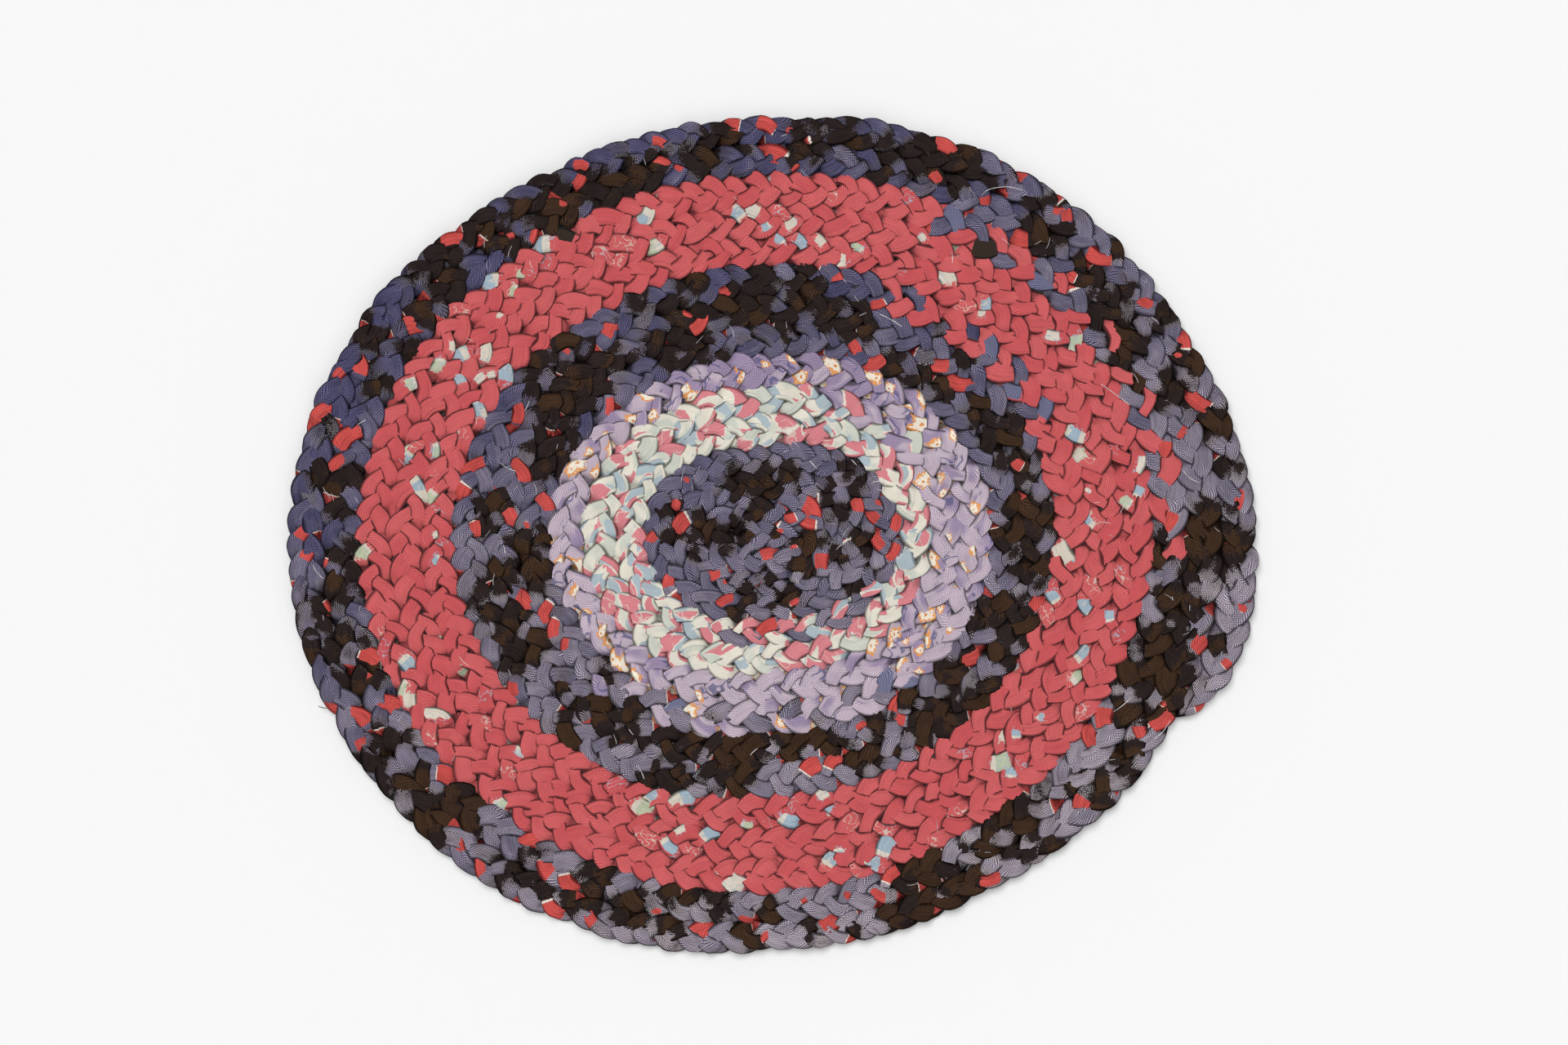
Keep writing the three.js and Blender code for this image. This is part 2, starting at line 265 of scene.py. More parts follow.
def strandPath(braid, strand):
    # A flat plait of three: with t growing by 2 pi over a period and a third of a turn between
    # strands, a strand lies at  across = a sin t,  height = b tanh(c (share - sin(2t - lead))).  It
    # is on top from an edge to just past the middle, so the chevrons point along the braid.
    length = braid["length"]
    width = 2 * braid["halfWidth"]
    period = plait["periodBase"] + plait["periodPerWidth"] * width / braid["tail"]
    uneven = smoothNoise(length / plait["periodWanderLength"], 11)
    period = period * (1 + plait["periodWander"] * uneven)
    phase = np.concatenate([[0], np.cumsum(2 * np.pi / period[1:] * np.diff(length))])
    ahead = plait["paceWander"] * smoothNoise(length / plait["paceWanderLength"], 20 + strand)
    t = phase + 2 * np.pi * strand / 3 + ahead
    lobe = t / np.pi
    ends = np.clip(np.minimum(length, length[-1] - length) / plait["endLength"], 0, 1)
    ends = ends * ends * (3 - 2 * ends)
    strandWidth = width * plait["strandShare"] * grown(plait["endWidth"], ends)
    strandWidth = strandWidth * (1 + plait["widthWander"] * smoothNoise(lobe, 30 + strand))
    strandWidth = strandWidth * (1 + plait["shoulder"] * np.cos(2 * t - plait["shoulderAt"]))
    height = plait["strandHeight"] * grown(plait["endHeight"], ends)
    height = height * grown(plait["tailHeight"], braid["tail"])
    height = height * (1 + plait["heightWander"] * smoothNoise(lobe + 0.5, 40 + strand))
    lastRow = np.clip(braid["place"] - (coil["endPlace"] - raysPerTurn - 1), 0, 1)
    past = plait["overlap"] * width * grown(plait["overlapLeft"], 1 - lastRow)
    a = (braid["halfWidth"] + past - strandWidth / 2) * ends
    b = plait["rise"] * ends * grown(plait["tailRise"], braid["tail"])
    warped = t + plait["lean"] * np.sin(2 * t)
    side = a * np.sin(warped) + plait["wander"] * smoothNoise(lobe * 0.9, 50 + strand) * ends
    wave = plait["topShare"] - np.sin(2 * t - plait["lead"])
    rise = b * np.tanh(plait["plateau"] * wave) / np.tanh(plait["plateau"])
    rise = rise + plait["riseWander"] * smoothNoise(lobe * 1.1, 60 + strand) * ends
    middle = plait["rise"] + plait["strandHeight"] / 2 - plait["sunk"]
    middle = middle * grown(plait["endLevel"], np.minimum(ends, braid["tail"]))
    flat = braid["middle"] + braid["across"] * side[:, None]
    away = np.linalg.norm(flat[:, None] - widerAt[None, :, :2], axis=2)
    wider = widerAt[:, 2] * np.exp(-(away / plait["widerReach"]) ** 2)
    strandWidth = strandWidth * (1 + wider.max(axis=1))
    centre = np.column_stack([flat, middle + rise])
    turn = np.sin(warped)
    roll = np.radians(plait["edgeRoll"] * turn ** 3
                      + plait["rollWander"] * smoothNoise(lobe * 0.8, 70 + strand))
    along = np.concatenate([[0], np.cumsum(np.linalg.norm(np.diff(centre, axis=0), axis=1))])
    return {"centre": centre, "roll": roll, "width": strandWidth, "height": height,
            "along": along, "t": t, "strand": strand, "lift": rise}


def foldDepth(wave):
    # no fold for small values, and nearly its full height for large ones
    return np.sign(wave) * np.clip((np.abs(wave) - plait["foldFrom"]) * plait["foldGain"], 0, 1)


def strandSurface(braid, path):
    # Section: the points x run once round the strand from its right edge over the top, with
    # y = (1 - |x|^n)^(1/n); two pairs of close points make the edges of the folded layers.  It is
    # carried along the path in the frame (side = tangent x up, normal = side x tangent).
    count = len(path["t"])
    lobe = path["t"] / np.pi
    seed = 80 + path["strand"]
    foldRight = 0.5 + plait["foldWander"] * smoothNoise(lobe * 1.1, seed)
    foldLeft = -0.5 + plait["foldWander"] * smoothNoise(lobe * 1.1, seed + 20)
    deepRight = plait["foldStep"] * foldDepth(smoothNoise(lobe * 0.8, seed + 3))
    deepLeft = plait["foldStep"] * foldDepth(smoothNoise(lobe * 0.8, seed + 23))
    one = np.ones(count)
    gap = plait["foldGap"]
    across = np.stack([
        one, one * 0.97, one * 0.88, (0.88 + foldRight) / 2, foldRight + gap, foldRight - gap,
        (foldRight + foldLeft) / 2, foldLeft + gap, foldLeft - gap, (foldLeft - 0.88) / 2, one * -0.88,
        one * -0.97, -one, one * -0.9, one * -0.45, one * 0.45, one * 0.9,
    ], 1)
    top = np.array([0, 1, 1, 1, 1, 1, 1, 1, 1, 1, 1, 1, 0, -1, -1, -1, -1])
    power = plait["squareness"]
    up = top * np.maximum(1 - np.abs(across) ** power, 0) ** (1 / power)
    layer = np.zeros((count, across.shape[1]))
    layer[:, 3:5] = deepRight[:, None] / 2
    layer[:, 5:8] = -(deepRight + deepLeft)[:, None] / 4
    layer[:, 8:10] = deepLeft[:, None] / 2
    tangent = np.gradient(path["centre"], axis=0)
    tangent /= np.linalg.norm(tangent, axis=1)[:, None]
    flatAcross = np.column_stack([braid["across"], np.zeros(count)])
    lean = (np.cos(path["roll"])[:, None] * np.array([0.0, 0.0, 1.0])
            + np.sin(path["roll"])[:, None] * flatAcross)
    side = np.cross(tangent, lean)
    side /= np.linalg.norm(side, axis=1)[:, None]
    normal = np.cross(side, tangent)
    lateral = path["width"][:, None] / 2 * across
    rise = path["height"][:, None] / 2 * up + layer
    along, around = np.broadcast_arrays(path["along"][:, None], lateral)
    large, small = plait["wrinkleSizes"]
    wrinkle = smoothNoise2(along / large[0], around / large[1] + 40 * path["strand"], seed + 9)
    finer = smoothNoise2(along / small[0], around / small[1] + 90, seed + 12)
    wrinkle = wrinkle + plait["smallWrinkles"] * finer
    rise = rise + plait["wrinkle"] * wrinkle * np.abs(up)
    points = (path["centre"][:, None] + side[:, None] * lateral[..., None]
              + normal[:, None] * rise[..., None])
    points[..., 2] = np.maximum(trodden(points[..., 2]), plait["lowest"])
    return points, lateral


def trodden(height):
    # z below a, and  a + s (1 - exp((a - z) / s))  above it: what lies on top is pressed level
    # and keeps its order, and the creases stay; all is then scaled to the rug's thickness
    low, soft = plait["pressedFrom"], plait["pressedBy"]
    over = np.maximum(height - low, 0)
    return (np.minimum(height, low) + soft * (1 - np.exp(-over / soft))) * plait["pressedScale"]


def gridMesh(name, points, along, cloth, fields, sharpColumns=()):
    # a closed tube from rows of points: quads between rows, and a flat cap of one face at each
    # end; the UV map is (distance along, distance round the cloth) in metres
    rows, columns, _ = points.shape
    row, column = np.meshgrid(np.arange(rows - 1), np.arange(columns), indexing="ij")
    following = (column + 1) % columns
    quads = np.stack([row * columns + column, row * columns + following,
                      (row + 1) * columns + following, (row + 1) * columns + column], -1).reshape(-1, 4)
    startCap = np.arange(columns)[::-1]
    endCap = (rows - 1) * columns + np.arange(columns)
    loops = np.concatenate([quads.ravel(), startCap, endCap])
    starts = np.concatenate([np.arange(len(quads)) * 4, [len(quads) * 4, len(quads) * 4 + columns]])
    totals = np.concatenate([np.full(len(quads), 4), [columns, columns]])
    mesh = bpy.data.meshes.new(name)
    mesh.vertices.add(rows * columns)
    mesh.vertices.foreach_set("co", (points * mm).astype(np.float32).ravel())
    mesh.loops.add(len(loops))
    mesh.loops.foreach_set("vertex_index", loops.astype(np.int32))
    mesh.polygons.add(len(starts))
    mesh.polygons.foreach_set("loop_start", starts.astype(np.int32))
    mesh.polygons.foreach_set("loop_total", totals.astype(np.int32))
    mesh.polygons.foreach_set("use_smooth", np.ones(len(starts), bool))
    mesh.update(calc_edges=True)
    ends = np.empty(len(mesh.edges) * 2, np.int32)
    mesh.edges.foreach_get("vertices", ends)
    ends = ends.reshape(-1, 2) % columns
    isFold = (ends[:, 0] == ends[:, 1]) & np.isin(ends[:, 0], sharpColumns)
    mesh.attributes.new("sharp_edge", "BOOLEAN", "EDGE").data.foreach_set("value", isFold)
    uv = np.column_stack([np.repeat(along, columns), cloth.ravel()])[loops]
    layer = mesh.uv_layers.new(name="strip")
    layer.data.foreach_set("uv", (uv * mm).astype(np.float32).ravel())
    for fieldName, values in fields.items():
        attribute = mesh.attributes.new(fieldName, "FLOAT", "POINT")
        attribute.data.foreach_set("value", np.ascontiguousarray(values, np.float32).ravel())
    mesh.validate()
    piece = bpy.data.objects.new(name, mesh)
    bpy.context.scene.collection.objects.link(piece)
    return piece


# where each of the three strands changes cloth, in rays along the coil
stretches = [
    {"name": "plaid_centre", "ends": (47.0, 48.8, 50.5)},
    {"name": "cream_print", "ends": (71.0, 72.2, 73.2)},
    {"name": "lavender_print", "ends": (89.6, 92.7, 94.0)},
    {"name": "plaid_middle", "ends": (127.4, 127.7, 129.2)},
    {"name": "red", "ends": (169.9, 170.6, 171.9)},
    {"name": "plaid_outer", "ends": (300, 300, 300)},
]
jointSearch = 14  # samples either way within which a joint may move


def hiddenIndex(braid, path, place):
    # near a place, the sample where the strand lies lowest, so that a joint doesn't show
    index = int(np.searchsorted(braid["place"], place))
    end = len(path["lift"]) - 1
    if index >= end:
        return end
    low, high = max(0, index - jointSearch), min(end, index + jointSearch)
    return low + int(np.argmin(path["lift"][low:high]))


braid = sampleCoil(plait["step"])
paths = [strandPath(braid, strand) for strand in range(3)]
print("braid", round(float(braid["length"][-1])), "mm long,", len(braid["length"]), "samples")


def cutStretches():
    # first and last sample of each strand in each stretch
    spans = []
    starts = [0, 0, 0]
    for stretch in stretches:
        ends = [hiddenIndex(braid, paths[k], stretch["ends"][k]) for k in range(3)]
        spans.append(list(zip(starts, ends)))
        starts = ends
    return spans


spans = cutStretches()

# the camera's frame, looking straight down; places on the rug are counted in its pixels
viewFrame = {
    "width": 1920,
    "height": 1280,
    "mmPerPixel": 0.27,
    "rugMiddle": (945.5, 654.5),
    "cameraHeight": 1400.0,
    "sensorWidth": 36.0,
}


def fromFrame(spots):
    spots = np.array(spots, float)
    x = (spots[:, 0] - viewFrame["rugMiddle"][0]) * viewFrame["mmPerPixel"]
    y = (viewFrame["rugMiddle"][1] - spots[:, 1]) * viewFrame["mmPerPixel"]
    return np.column_stack([x, y, spots[:, 2:]])


# black and brown areas of the plaid cloth: x, y, radius
darkSpots = fromFrame([
    (885, 175, 33), (865, 195, 30), (985, 180, 30), (1040, 175, 30), (1085, 195, 32), (1130, 200, 38),
    (1175, 190, 36), (1275, 285, 34), (1285, 300, 28), (1335, 345, 28), (1360, 385, 42), (1375, 420, 38),
    (1385, 465, 22), (1430, 385, 22), (1435, 475, 32), (1455, 440, 24), (1485, 525, 29), (1500, 570, 22),
    (1480, 650, 45), (1455, 690, 40), (1500, 665, 35), (1430, 680, 28), (1440, 735, 40), (1415, 790, 40),
    (1395, 830, 35), (1440, 830, 30), (1425, 880, 30), (1480, 790, 18), (1375, 870, 25), (1375, 925, 26),
    (1330, 965, 30), (1250, 1005, 45), (1215, 1035, 25), (1290, 1040, 20), (1135, 1060, 40),
    (1175, 1080, 45), (1130, 1100, 35), (1090, 1115, 28), (1045, 1135, 15), (990, 1133, 15),
    (945, 1115, 18), (910, 1140, 25), (880, 1100, 22), (830, 1090, 25), (825, 1135, 20), (770, 1110, 35),
    (735, 1065, 18), (720, 1100, 28), (640, 1060, 31), (665, 1085, 20), (525, 1000, 45), (500, 960, 35),
    (560, 985, 45), (585, 970, 25), (520, 1015, 30), (485, 905, 30), (465, 925, 25), (440, 835, 26),
    (460, 820, 20), (415, 790, 30), (395, 750, 34), (420, 715, 32), (415, 680, 22), (385, 800, 20),
    (400, 590, 32), (430, 580, 28), (420, 625, 20), (385, 520, 25), (470, 470, 20), (455, 410, 24),
    (500, 430, 18), (545, 345, 37), (520, 380, 24), (550, 310, 25), (590, 285, 29), (630, 300, 22),
    (645, 255, 30), (680, 260, 45), (700, 245, 30), (745, 235, 40), (780, 220, 35), (800, 200, 18),
    (935, 335, 22), (985, 335, 20), (905, 370, 41), (930, 380, 37), (985, 370, 40), (1015, 385, 38),
    (955, 400, 30), (1050, 395, 34), (850, 345, 25), (835, 395, 45), (820, 425, 40), (860, 430, 30),
    (715, 460, 45), (750, 440, 30), (690, 490, 40), (675, 540, 35), (665, 570, 25), (700, 420, 25),
    (655, 455, 25), (780, 370, 25), (1150, 410, 18), (1130, 460, 30), (1095, 450, 25), (1150, 475, 22),
    (1185, 435, 18), (1195, 505, 30), (1215, 540, 25), (1240, 530, 25), (1245, 570, 28), (1250, 620, 28),
    (1275, 640, 30), (1235, 650, 28), (1260, 690, 38), (1225, 745, 35), (1245, 770, 30), (1205, 760, 18),
    (1225, 800, 22), (1170, 830, 38), (1150, 870, 42), (1195, 850, 33), (1125, 885, 20), (1115, 850, 20),
    (1015, 910, 27), (970, 910, 28), (915, 915, 30), (890, 920, 42), (850, 905, 28), (900, 950, 32),
    (815, 910, 25), (800, 945, 18), (830, 950, 20), (770, 895, 22), (740, 865, 30), (735, 840, 22),
    (700, 910, 22), (690, 890, 22), (650, 800, 30), (630, 810, 28), (620, 770, 26), (600, 745, 25),
    (600, 720, 28), (650, 700, 32), (640, 680, 30), (665, 665, 18), (615, 700, 25), (610, 620, 20),
    (595, 640, 18), (936, 589, 27), (899, 586, 23), (967, 581, 19),
    (930, 626, 18), (886, 652, 24), (912, 652, 14), (857, 649, 24), (828, 655, 21), (849, 681, 15),
    (951, 655, 9), (991, 665, 20), (1028, 626, 25), (1012, 610, 20), (1046, 597, 23), (1038, 576, 20),
    (1049, 665, 21), (1025, 678, 14), (978, 694, 11), (994, 702, 12), (930, 700, 12), (946, 710, 12),
    (912, 728, 17), (967, 728, 18), (951, 736, 13), (899, 747, 15), (1047, 720, 13), (1072, 699, 12),
    (820, 620, 16), (994, 899, 26), (1073, 889, 17), (1073, 918, 21), (1047, 926, 21), (1020, 912, 24),
    (1128, 910, 20), (1094, 915, 13), (1162, 889, 22), (965, 926, 15), (720, 856, 22), (751, 885, 17),
    (770, 874, 15), (694, 874, 16), (691, 837, 13), (636, 750, 17), (788, 908, 16), (738, 824, 18),
    (1210, 217, 18), (1242, 212, 18),
    (1293, 247, 16), (1330, 263, 16), (1347, 277, 12), (1370, 307, 14), (1320, 323, 12), (1377, 357, 20),
    (1353, 363, 16), (1393, 473, 18), (1163, 210, 20), (1167, 232, 14),
])
# bright red pieces of the plaid: x, y, size, and 1 where a white line runs along one end
redPieces = fromFrame([
    (712, 207, 14, 0), (710, 222, 14, 0), (807, 182, 16, 0), (812, 194, 14, 0), (828, 198, 16, 0),
    (895, 152, 14, 1), (938, 153, 18, 1), (967, 165, 10, 0), (946, 190, 26, 1), (975, 212, 8, 0),
    (693, 250, 8, 1), (550, 285, 22, 0), (625, 293, 10, 0), (662, 290, 13, 0), (518, 405, 28, 1),
    (447, 445, 18, 0), (417, 465, 14, 0), (395, 495, 22, 0), (430, 533, 28, 0), (412, 562, 16, 0),
    (383, 655, 22, 0), (388, 675, 18, 0), (397, 690, 8, 1), (405, 740, 8, 1), (455, 795, 20, 1),
    (450, 828, 7, 0), (475, 850, 26, 1), (443, 868, 24, 0), (508, 880, 10, 0), (447, 911, 12, 0),
    (545, 948, 16, 1), (548, 982, 8, 0), (570, 1030, 15, 0), (583, 1058, 17, 1), (645, 1029, 17, 0),
    (667, 1060, 17, 1), (705, 1078, 26, 1), (688, 1110, 26, 1), (715, 1121, 20, 0), (805, 1114, 7, 0),
    (865, 1133, 26, 0), (912, 1130, 12, 0), (940, 1147, 14, 1), (985, 1103, 8, 1), (1028, 1128, 28, 0),
    (1037, 1095, 8, 0), (1072, 1098, 14, 0), (1095, 1073, 18, 1), (1210, 1070, 20, 0), (1325, 988, 18, 0),
    (1332, 905, 26, 0), (1355, 880, 24, 0), (1395, 900, 18, 1), (1425, 893, 24, 1), (1423, 858, 8, 1),
    (1500, 812, 9, 1), (1521, 745, 9, 1), (1468, 790, 16, 0), (1505, 612, 22, 0), (1425, 635, 22, 1),
    (1422, 590, 18, 1), (1425, 552, 16, 1), (1453, 530, 17, 1), (1470, 485, 26, 1), (1453, 412, 20, 1),
    (1440, 436, 6, 0), (1402, 368, 14, 0), (1343, 325, 26, 1), (1365, 334, 7, 0), (1310, 340, 10, 1),
    (1296, 256, 12, 1), (1305, 265, 10, 0), (1245, 292, 18, 0), (1207, 253, 15, 1), (1143, 220, 13, 0),
    (1152, 170, 22, 0), (1165, 178, 12, 0), (755, 390, 18, 0), (745, 402, 14, 0), (845, 385, 8, 0),
    (857, 398, 21, 0), (883, 358, 14, 0), (1033, 348, 18, 0), (1008, 437, 12, 0), (1040, 435, 20, 0),
    (1066, 445, 24, 0), (1073, 378, 14, 1), (1153, 446, 17, 0), (1160, 474, 24, 0), (1184, 463, 13, 1),
    (1217, 470, 14, 1), (1213, 415, 13, 1), (1245, 568, 10, 1), (1268, 727, 22, 0), (1193, 808, 17, 0),
    (1102, 853, 22, 0), (1097, 875, 16, 1), (1072, 870, 12, 0), (1055, 893, 13, 1), (1020, 930, 20, 1),
    (992, 936, 18, 1), (985, 883, 12, 0), (810, 883, 9, 1), (628, 842, 12, 0), (666, 748, 22, 1),
    (674, 768, 16, 1), (688, 784, 13, 1), (643, 735, 20, 0), (618, 724, 13, 1), (645, 640, 6, 1),
    (625, 640, 20, 0), (580, 645, 18, 1), (572, 607, 22, 1), (613, 595, 12, 1), (580, 570, 22, 0),
    (645, 568, 24, 0), (633, 505, 17, 0), (755, 500, 16, 0), (665, 610, 14, 0), (670, 616, 12, 0),
    (697, 432, 7, 0), (827, 620, 13, 0), (830, 640, 22, 1), (798, 652, 15, 0), (818, 710, 17, 1),
    (870, 700, 17, 1), (885, 728, 17, 0), (928, 707, 12, 0), (975, 740, 11, 1), (938, 763, 18, 0),
    (945, 672, 17, 0), (955, 650, 5, 1), (972, 675, 9, 1), (980, 648, 20, 1), (968, 634, 12, 1),
    (995, 622, 19, 0), (1013, 693, 21, 1), (1050, 618, 14, 0), (1063, 628, 15, 0), (1075, 613, 10, 1),
    (1065, 665, 20, 0), (1092, 638, 17, 0), (1086, 674, 18, 0), (842, 590, 6, 0), (892, 712, 7, 0),
])
# bits of pale print in the red cloth: x, y, size, kind (0 light blue, 1 cream, 2 green, 3 lines), and
# whole lobes of other cloth (4 blue, 5 black, 6 bright red)
paleBits = fromFrame([
    (797, 263, 18, 1), (790, 270, 12, 0), (800, 305, 18, 2), (750, 315, 14, 3), (765, 292, 14, 3),
    (905, 262, 12, 0), (922, 262, 12, 1), (938, 280, 9, 0), (960, 262, 14, 3), (968, 275, 13, 1),
    (980, 300, 18, 0), (955, 295, 8, 0), (1005, 295, 9, 1), (1025, 318, 15, 1), (1000, 325, 8, 0),
    (1047, 312, 15, 2), (900, 328, 14, 3), (1020, 240, 8, 3), (1068, 228, 22, 2), (1110, 240, 12, 3),
    (1127, 293, 8, 1), (1100, 328, 10, 3), (1152, 335, 18, 1), (1148, 345, 13, 0), (1172, 313, 9, 3),
    (1188, 375, 18, 3), (1210, 378, 14, 0), (1200, 384, 8, 1), (1310, 420, 19, 2), (1288, 410, 12, 1),
    (1300, 525, 16, 3), (1312, 537, 18, 0), (1315, 556, 12, 1), (1332, 553, 14, 3), (1370, 545, 12, 3),
    (1400, 572, 14, 1), (1388, 600, 14, 0), (1378, 615, 10, 2), (1325, 637, 15, 0), (1323, 624, 9, 3),
    (1330, 598, 5, 1), (1306, 677, 24, 1), (1312, 690, 12, 0), (1290, 733, 12, 0), (1290, 755, 20, 3),
    (1345, 712, 16, 3), (1365, 705, 12, 3), (1327, 745, 17, 0), (1355, 755, 9, 0), (1397, 750, 12, 0),
    (1370, 773, 9, 3), (1318, 795, 19, 0), (1322, 830, 15, 2), (1327, 872, 13, 3), (1275, 878, 8, 0),
    (1236, 900, 15, 1), (1243, 896, 9, 0), (1226, 935, 16, 2), (1237, 946, 10, 0), (1252, 940, 12, 3),
    (1182, 925, 9, 3), (1228, 985, 18, 2), (1165, 995, 14, 3), (1080, 1010, 22, 3), (1045, 1008, 12, 3),
    (1133, 1033, 12, 3), (1083, 1033, 18, 0), (1068, 1053, 14, 0), (1020, 1050, 14, 0), (1030, 1043, 9, 1),
    (1040, 1065, 14, 3), (1005, 972, 10, 1), (1009, 986, 13, 0), (790, 988, 20, 2), (798, 973, 13, 0),
    (825, 975, 10, 1), (840, 973, 16, 0), (833, 1015, 9, 1), (823, 1028, 18, 0), (852, 1035, 14, 3),
    (868, 1022, 18, 0), (915, 1011, 9, 2), (790, 1028, 14, 3), (950, 1000, 12, 3), (968, 1007, 17, 0),
    (965, 982, 12, 3), (875, 1073, 6, 1), (898, 1083, 18, 1), (905, 1090, 10, 0), (755, 950, 14, 3),
    (505, 858, 14, 1), (500, 868, 12, 0), (528, 868, 16, 1), (545, 868, 12, 1), (532, 900, 9, 3),
    (600, 897, 18, 3), (640, 918, 11, 1), (625, 948, 12, 3), (615, 983, 12, 2), (447, 675, 13, 2),
    (445, 697, 8, 2), (535, 655, 8, 1), (545, 661, 10, 3), (540, 688, 12, 0), (502, 815, 19, 0),
    (487, 840, 13, 2), (475, 795, 12, 3), (472, 770, 8, 3), (597, 845, 12, 3), (563, 815, 6, 3),
    (555, 425, 8, 1), (563, 448, 24, 0), (565, 462, 12, 0), (538, 450, 13, 2), (507, 473, 11, 2),
    (600, 430, 16, 1), (588, 465, 8, 1), (603, 462, 9, 1), (624, 455, 20, 0), (590, 500, 20, 0),
    (598, 503, 12, 1), (567, 532, 8, 3), (510, 550, 14, 3), (540, 556, 13, 2), (500, 566, 20, 0),
    (514, 595, 17, 0), (518, 606, 12, 1), (535, 590, 10, 3), (530, 611, 13, 2), (545, 620, 14, 3),
    (660, 303, 22, 0), (664, 318, 12, 3), (657, 332, 12, 3), (608, 333, 12, 1), (598, 343, 18, 0),
    (641, 343, 14, 2), (632, 357, 9, 2), (563, 385, 12, 3), (615, 390, 5, 1), (740, 306, 14, 3),
    (597, 413, 9, 0), (1173, 263, 30, 4), (1270, 347, 26, 4), (1297, 367, 28, 4), (1220, 430, 22, 4),
    (1237, 473, 22, 4), (1283, 497, 26, 4), (1157, 400, 20, 4), (1212, 303, 30, 5), (1245, 285, 18, 6),
    (1262, 305, 22, 6), (1270, 325, 18, 6), (692, 286, 22, 5), (1205, 275, 18, 6),
])
# cream flowers ringed in orange on the lavender cloth: x, y, size
flowers = fromFrame([
    (794, 483, 13), (840, 475, 10), (848, 487, 11), (800, 508, 11), (775, 515, 15), (745, 535, 8),
    (750, 551, 12), (725, 555, 10), (710, 568, 18), (702, 576, 11), (740, 567, 13), (728, 583, 12),
    (687, 690, 12), (703, 697, 19), (708, 725, 16), (724, 745, 8), (718, 750, 9), (740, 770, 11),
    (747, 785, 12), (735, 776, 8), (750, 808, 14), (770, 812, 22), (776, 829, 13), (805, 845, 11),
    (845, 872, 18), (857, 852, 10), (833, 882, 9), (880, 885, 16), (895, 882, 12), (958, 885, 14),
    (905, 445, 14), (935, 448, 8), (915, 462, 14), (970, 440, 9), (983, 462, 14), (960, 472, 8),
    (980, 490, 14), (1008, 442, 11), (1022, 450, 15), (1012, 500, 13), (1058, 462, 16), (1072, 466, 12),
    (1090, 476, 12), (1115, 493, 13), (1133, 490, 13), (1107, 530, 15), (1130, 520, 22), (1146, 545, 13),
    (1166, 535, 8), (1177, 545, 7), (1137, 580, 10), (1131, 592, 15), (1150, 585, 9), (1155, 602, 9),
    (1193, 624, 12), (1162, 657, 9), (1142, 682, 15), (1195, 675, 14), (1177, 696, 11), (1112, 735, 13),
    (1135, 753, 16), (1152, 745, 9), (1162, 765, 16), (1064, 790, 13), (1095, 777, 12), (1090, 795, 10),
    (1110, 785, 7), (1131, 783, 12), (1127, 795, 11), (1095, 810, 13), (1122, 820, 8),
])
# grey-blue lobes on the lavender cloth: x, y, size, 1
blueLobes = fromFrame([(1080, 840, 26, 1), (1120, 838, 14, 1), (828, 857, 24, 1)])
# loose ends of thread that lie on the rug: 0 pale or 1 dark, then the points of its line
looseEnds = [
    (0, (1200, 243), (1204, 236), (1215, 232), (1233, 230), (1252, 235)),
    (0, (612, 565), (619, 572), (625, 575), (635, 578)), (0, (438, 521), (446, 518), (452, 513)),
    (0, (385, 690), (389, 700), (400, 710)), (0, (1075, 385), (1090, 392), (1105, 402)),
    (0, (930, 915), (922, 918), (918, 926)), (0, (780, 935), (787, 944), (790, 955)),
    (0, (770, 890), (772, 896), (778, 900)), (0, (1345, 470), (1362, 482), (1382, 497)),
    (0, (1445, 575), (1455, 587), (1468, 592)), (0, (1410, 905), (1422, 896), (1432, 880)),
    (0, (1360, 872), (1372, 864), (1385, 852)), (0, (990, 563), (997, 571), (1002, 576)),
    (0, (1065, 592), (1078, 588), (1086, 595), (1080, 603), (1072, 598)),
    (0, (650, 490), (648, 498), (643, 505)), (0, (617, 665), (620, 672), (620, 680)),
    (0, (1040, 562), (1046, 566), (1050, 572)), (1, (610, 660), (630, 658), (652, 665)),
    (1, (612, 690), (620, 681), (630, 684), (632, 695), (622, 699)), (1, (640, 735), (640, 718), (646, 700)),
    (1, (388, 864), (396, 867), (405, 867)), (1, (1068, 1134), (1074, 1137), (1076, 1143), (1080, 1145)),
]

# a dark area is a sum of the spots above and two noises, less the threshold
darkMix = {
    "spots": 2.3,
    "lobes": 0.7,
    "lobeLength": 11,
    "small": 0.42,
    "smallSize": (5, 4),
    "threshold": 1.05,
}


def darkField(path, lateral, strand):
    # exp(-d^2 / r^2) of the nearest dark spot at the strand's middle line, with noise along each
    # strand, so that whole lobes are dark, and smaller noise on the cloth
    x, y = path["centre"][:, 0], path["centre"][:, 1]
    inside = np.zeros(len(x))
    for spotX, spotY, radius in darkSpots:
        reach = radius * viewFrame["mmPerPixel"]
        inside = np.maximum(inside, np.exp(-((x - spotX) ** 2 + (y - spotY) ** 2) / reach ** 2))
    along = path["along"]
    lobes = darkMix["lobes"] * smoothNoise(along / darkMix["lobeLength"] + 500 * strand, 201)
    sizeAlong, sizeAcross = darkMix["smallSize"]
    small = smoothNoise2(along[:, None] / sizeAlong + 300 * strand, lateral / sizeAcross, 202)
    strength = darkMix["spots"] * inside + lobes - darkMix["threshold"]
    return strength[:, None] + darkMix["small"] * small


# painted shade in the creases, from how far each point lies below the cloth around it
crease = {
    "cell": 0.8,               # of the grid that holds the height of the rug's top
    "margin": 8.0,
    "slack": 0.4,              # depth below the cloth around it at which a point begins to be shaded
    "depth": 1.4,              # further depth at which its shade is full
    "share": 0.4,              # of this shade beside that at a strand's edges
    "rimFrom": 0.3,            # the open rim starts at this share of the braid's half width
}
